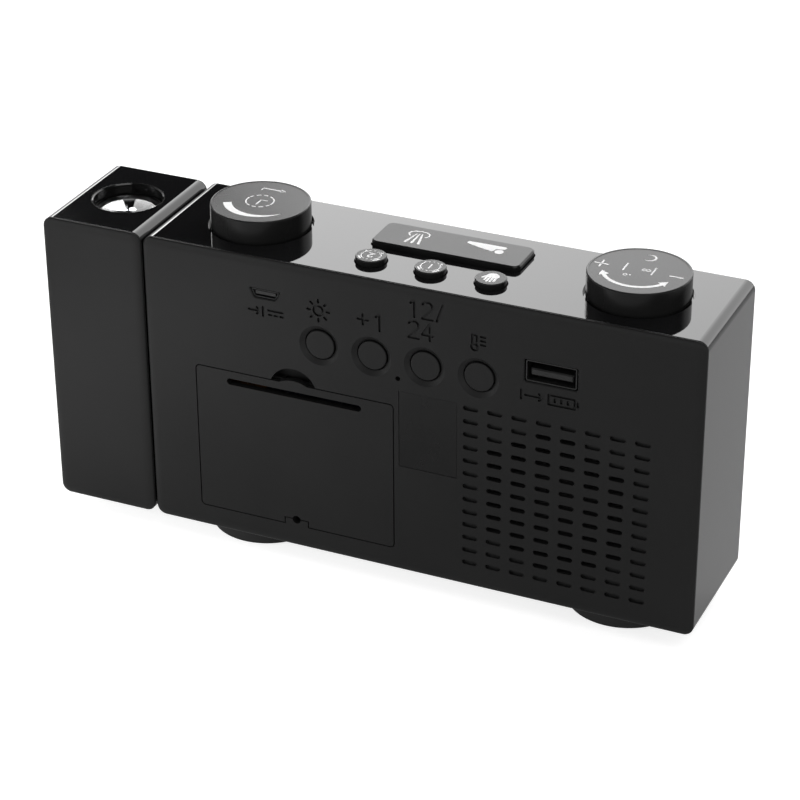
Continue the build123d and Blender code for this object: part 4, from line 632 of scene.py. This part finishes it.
def volume_knob_print():
    """Plus, minus, a double arrow, two bars with small glyphs and a crescent."""
    centre = plan_centre("volume_knob")
    marks = Print(top_height("volume_knob") - knob_face_depth)
    # Plus and minus
    half_plus = 1.7
    half_minus = 1.6
    minus_width = 0.45
    plus = (centre[0] + 9.9, centre[1] - 0.3)
    minus = (centre[0] - 9.35, centre[1] - 0.1)
    marks.stroke(shifted([(-half_plus, 0.0), (half_plus, 0.0)], plus), thick_line)
    marks.stroke(shifted([(0.0, -half_plus), (0.0, half_plus)], plus), thick_line)
    marks.stroke(shifted([(-half_minus, 0.0), (half_minus, 0.0)], minus), minus_width)
    # Double arrow, as one outline: a tip, its shoulders, the band and the other head
    radius = 9.0
    half_band = 0.48
    half_head = 1.3
    tips = (20.5, 159)
    roots = (35, 144.5)
    outline = []
    for side, near, far in ((1, 0, 1), (-1, 1, 0)):
        outline.append(polar(centre, radius, tips[near]))
        outline.append(polar(centre, radius + side * half_head, roots[near]))
        outline += arc(centre, radius + side * half_band, roots[near], roots[far], 36)
        outline.append(polar(centre, radius + side * half_head, roots[far]))
    marks.shape(outline)
    # Bars, two loops between them, and a ring with a dot over them
    bar_width = 0.4
    loop_width = 0.26
    for bar_x in (3.95, -3.3):
        marks.stroke(shifted([(bar_x, -2.8), (bar_x, 1.1)], centre), bar_width)
    for loop_x in (-0.9, -1.95):
        marks.ring((centre[0] + loop_x, centre[1] - 0.85), 0.5, loop_width)
    marks.ring((centre[0] + 2.6, centre[1] + 3.3), 0.45, loop_width)
    marks.disc((centre[0] + 1.4, centre[1] + 3.1), 0.24, 14)
    # Crescent near the front, its horns towards +X
    moon = (centre[0], centre[1] - 7.7)
    outer_radius = 1.75
    inner_radius = 1.55
    horn = 52
    horn_x = outer_radius * cos(radians(horn))
    horn_y = outer_radius * sin(radians(horn))
    shift = horn_x - sqrt(inner_radius**2 - horn_y**2)
    inner_horn = degrees(atan2(horn_y, horn_x - shift))
    outer = arc(moon, outer_radius, horn, 360 - horn, 30)
    inner = arc((moon[0] + shift, moon[1]), inner_radius, inner_horn, 360 - inner_horn, 30)
    marks.shape(outer + inner[-2:0:-1])
    marks.finish("volume_knob_print", "volume_turn_knob")


def snooze_bar_print():
    """Lamp with three rays, and a reclining figure."""
    marks = Print(top_height("snooze_bar"))
    # Lamp: a hood, and rays that widen away from it
    lamp = (-5.0, -6.2)
    ray_end = 0.72
    hood = [(2.1, 0.15), (2.75, -0.9), (2.6, -1.9), (1.6, -2.65), (0.0, -2.95)]
    mirrored = [(-x, y) for x, y in hood[-2::-1]]
    marks.stroke(shifted(hood + mirrored, lamp), thick_line)
    rays = (
        [(0.75, -1.25), (1.7, 4.1)],
        [(0.0, -1.25), (-0.05, 4.0)],
        [(-0.75, -1.35), (-1.9, 4.05)],
    )
    for ray in rays:
        marks.stroke(shifted(ray, lamp), thin_line, ray_end)
    # Sleeper: a ball for the head, and a wedge from the raised shoulder down to the feet
    marks.disc((-27.3, -5.8), 1.15, 28)
    shoulder = [(-25.98, -7.1), (-25.81, -5.91), (-25.25, -5.45)]
    feet = [(-21.74, -6.38), (-17.8, -7.75), (-17.97, -8.79)]
    back = [(-28.16, -8.94), (-28.47, -8.18), (-28.17, -7.52)]
    marks.shape(rounded(shoulder + feet + back, 0.45))
    marks.finish("snooze_bar_print", "snooze_key")


def alarm_print(node, body, numeral):
    """Alarm clock: two side arcs, dots over and under them, bells, feet and a numeral."""
    side_width = 0.3
    dot_width = 0.22
    bell_width = 0.5
    foot_width = 0.45
    numeral_width = 0.4
    centre = plan_centre(node)
    marks = Print(top_height(node))
    radius = 2.5
    for side in (0, 180):
        marks.stroke(arc(centre, radius, side - 48, side + 48, 16), side_width)
    for middle in (90, 270):
        for dot in (middle - 28, middle, middle + 28):
            marks.stroke(arc(centre, radius, dot - 5, dot + 5, 3), dot_width)
    for bell in (42, 138):
        marks.stroke(arc(centre, radius + 0.62, bell - 13, bell + 13, 6), bell_width)
    for foot in (-42, 222):
        marks.stroke([polar(centre, radius + reach, foot) for reach in (-0.1, 0.55)], foot_width)
    marks.stroke(shifted(numeral, centre), numeral_width)
    marks.finish(f"{node}_print", body)


numeral_one = [(0.0, -1.0), (0.0, 1.2)]
numeral_two = [
    (-0.62, 0.7), (-0.4, 1.08), (0.0, 1.2), (0.42, 1.05), (0.6, 0.62), (0.42, 0.2),
    (-0.62, -1.0), (0.68, -1.0),
]


def hand_print():
    """Open hand: a round palm, four fingers towards the back and a thumb to the side."""
    centre = plan_centre("hand_button")
    marks = Print(top_height("hand_button"))
    palm = arc((-0.15, -0.75), 1.7, 180, 360, 16)
    thumb = [(1.75, -0.45), (2.3, 0.4), (2.2, 0.85), (1.8, 0.75), (1.42, 0.1)]
    # Fingers: where each one's root is along X, and its tip
    half_finger = 0.29
    root_y = -0.1
    fingers = []
    roots_and_tips = (
        (1.05, (1.15, 1.5)),
        (0.28, (0.34, 2.2)),
        (-0.5, (-0.5, 2.2)),
        (-1.3, (-1.36, 1.7)),
    )
    for root_x, tip in roots_and_tips:
        fingers.append((root_x + half_finger, root_y))
        fingers += arc(tip, half_finger, 0, 180, 6)
        fingers.append((root_x - half_finger, root_y))
    marks.shape(shifted(palm + thumb + fingers, centre))
    marks.finish("hand_button_print", "hand_key")


enter_knob_print()
volume_knob_print()
snooze_bar_print()
alarm_print("alarm_2_button", "alarm_2_key", numeral_two)
alarm_print("alarm_1_button", "alarm_1_key", numeral_one)
hand_print()


# ---------------------------------------------------------------------------------------------
# Studio
# ---------------------------------------------------------------------------------------------
class Sky(Nodes):
    """World that shines by direction: azimuth counterclockwise from +X, elevation from the floor."""

    def __init__(self):
        world = bpy.data.worlds.new("studio")
        world.use_nodes = True
        super().__init__(world.node_tree)
        self.background = self.tree.nodes["Background"]
        self.background.inputs["Color"].default_value = (1.0, 1.0, 1.0, 1.0)
        split = self.add("ShaderNodeSeparateXYZ")
        self.link(self.add("ShaderNodeTexCoord").outputs["Generated"], split.inputs[0])
        self.azimuth = self.math("ARCTAN2", split.outputs["Y"], split.outputs["X"])
        self.elevation = self.math("ARCSINE", split.outputs["Z"])
        self.total = None
        bpy.context.scene.world = world

    def step(self, angle, at, soft, low=0.0, high=1.0):
        """Goes from low to high where the angle passes at, over soft degrees."""
        return self.remap(angle, low, high, radians(at - soft / 2), radians(at + soft / 2), "SMOOTHSTEP")

    def between(self, angle, low, high, soft_low, soft_high):
        """1 between two angles and 0 outside them."""
        return self.math(
            "MULTIPLY", self.step(angle, low, soft_low), self.step(angle, high, soft_high, 1.0, 0.0)
        )

    def include(self, strength):
        """Where two lights meet, the brighter one shows."""
        self.total = strength if self.total is None else self.math("MAXIMUM", self.total, strength)

    def softbox(self, strength, azimuths, azimuth_softs, elevations, elevation_softs):
        """A light between two azimuths and two elevations, each with its own soft edge."""
        across = self.between(self.azimuth, *azimuths, *azimuth_softs)
        up = self.between(self.elevation, *elevations, *elevation_softs)
        self.include(self.math("MULTIPLY", self.math("MULTIPLY", across, up), strength))


def build_sky():
    """Directions in degrees, and strengths of which 1 is white."""
    sky = Sky()
    # White round the horizon, nearly dark above it, and a soft light overhead
    sky.include(sky.step(sky.elevation, at=16, soft=9, low=1.0, high=0.01))
    sky.include(sky.step(sky.elevation, at=72, soft=16, low=0.0, high=0.8))
    # On the back's side, where the azimuth's sine has risen past these two, the white fades slowly upwards
    sines = (-0.6109, -0.0873)
    behind = sky.remap(sky.math("SINE", sky.azimuth), 0.0, 1.0, *sines, "SMOOTHSTEP")
    fading = sky.step(sky.elevation, at=31, soft=62, low=0.95, high=0.0)
    sky.include(sky.math("MULTIPLY", behind, fading))
    # Large softbox past the display's side, brightest at its sharp end
    sky.softbox(
        sky.step(sky.azimuth, at=-79, soft=34, low=2.6, high=4.1),
        azimuths=(-136, -62.6), azimuth_softs=(14.0, 0.6),
        elevations=(1.5, 52), elevation_softs=(1.0, 16.0),
    )
    # After a dark gap, a narrow one that brightens upwards
    sky.softbox(
        sky.step(sky.elevation, at=17, soft=12, low=1.6, high=11.0),
        azimuths=(-57.4, -46), azimuth_softs=(0.6, 8.0),
        elevations=(7, 38), elevation_softs=(4.0, 8.0),
    )
    # High softbox past the grille's end
    sky.softbox(
        2.0,
        azimuths=(100, 176), azimuth_softs=(12.0, 8.0),
        elevations=(50, 78), elevation_softs=(10.0, 8.0),
    )
    sky.link(sky.total, sky.background.inputs["Strength"])


def aimed(place, target):
    """At that place, looking towards the target along its own -Z."""
    turn = (Vector(target) - Vector(place)).to_track_quat("-Z", "Y")
    return Matrix.Translation(place) @ turn.to_matrix().to_4x4()


def build_key_light():
    """Lamp close to the projector's end: the back darkens away from it."""
    data = bpy.data.lights.new("key_light", "AREA")
    data.shape = "DISK"
    data.size = key_light_size
    data.energy = key_light_power
    lamp = add_object("key_light", data)
    lamp.matrix_world = aimed(key_light_place, key_light_target)
    lamp.visible_camera = False
    lamp.visible_glossy = False
    lamp.visible_transmission = False


def floor_material():
    """Pale floor: plain paint that also glows for camera, glossy and transmitted rays."""
    look = Look("studio_floor")
    patches = look.noise(floor_patch_mm, 2.0)
    diffuse = look.add("ShaderNodeBsdfDiffuse")
    look.link(look.blend(patches, *map(grey, floor_tones)), diffuse.inputs["Color"])
    rays = look.add("ShaderNodeLightPath").outputs
    mirrored = look.math("ADD", rays["Is Glossy Ray"], rays["Is Transmission Ray"])
    glow = look.math(
        "ADD",
        look.math("MULTIPLY", rays["Is Camera Ray"], seen_glow),
        look.math("MULTIPLY", mirrored, mirrored_glow),
    )
    emission = look.add("ShaderNodeEmission")
    look.link(glow, emission.inputs["Strength"])
    both = look.add("ShaderNodeAddShader")
    look.link(diffuse.outputs["BSDF"], both.inputs[0])
    look.link(emission.outputs["Emission"], both.inputs[1])
    look.link(both.outputs["Shader"], look.tree.nodes["Material Output"].inputs["Surface"])
    look.tree.nodes.remove(look.shader)
    return look.material


def build_floor():
    """One round face just below the feet."""
    mesh = bmesh.new()
    rim = circle((0.0, 0.0), floor_radius, floor_sides)
    mesh.faces.new([mesh.verts.new((x, y, -floor_drop)) for x, y in rim])
    data = bpy.data.meshes.new("studio_floor")
    mesh.to_mesh(data)
    mesh.free()
    data.materials.append(floor_material())
    floor = add_object("studio_floor", data)


def build_camera():
    data = bpy.data.cameras.new("camera")
    data.lens = camera_lens
    data.sensor_width = camera_sensor
    data.clip_start = camera_near
    camera = add_object("camera", data)
    camera.matrix_world = aimed(camera_place, camera_target) @ Matrix.Rotation(camera_roll, 4, "Z")
    bpy.context.scene.camera = camera


build_sky()
build_key_light()
build_floor()
build_camera()
bpy.context.scene.view_settings.view_transform = "Standard"
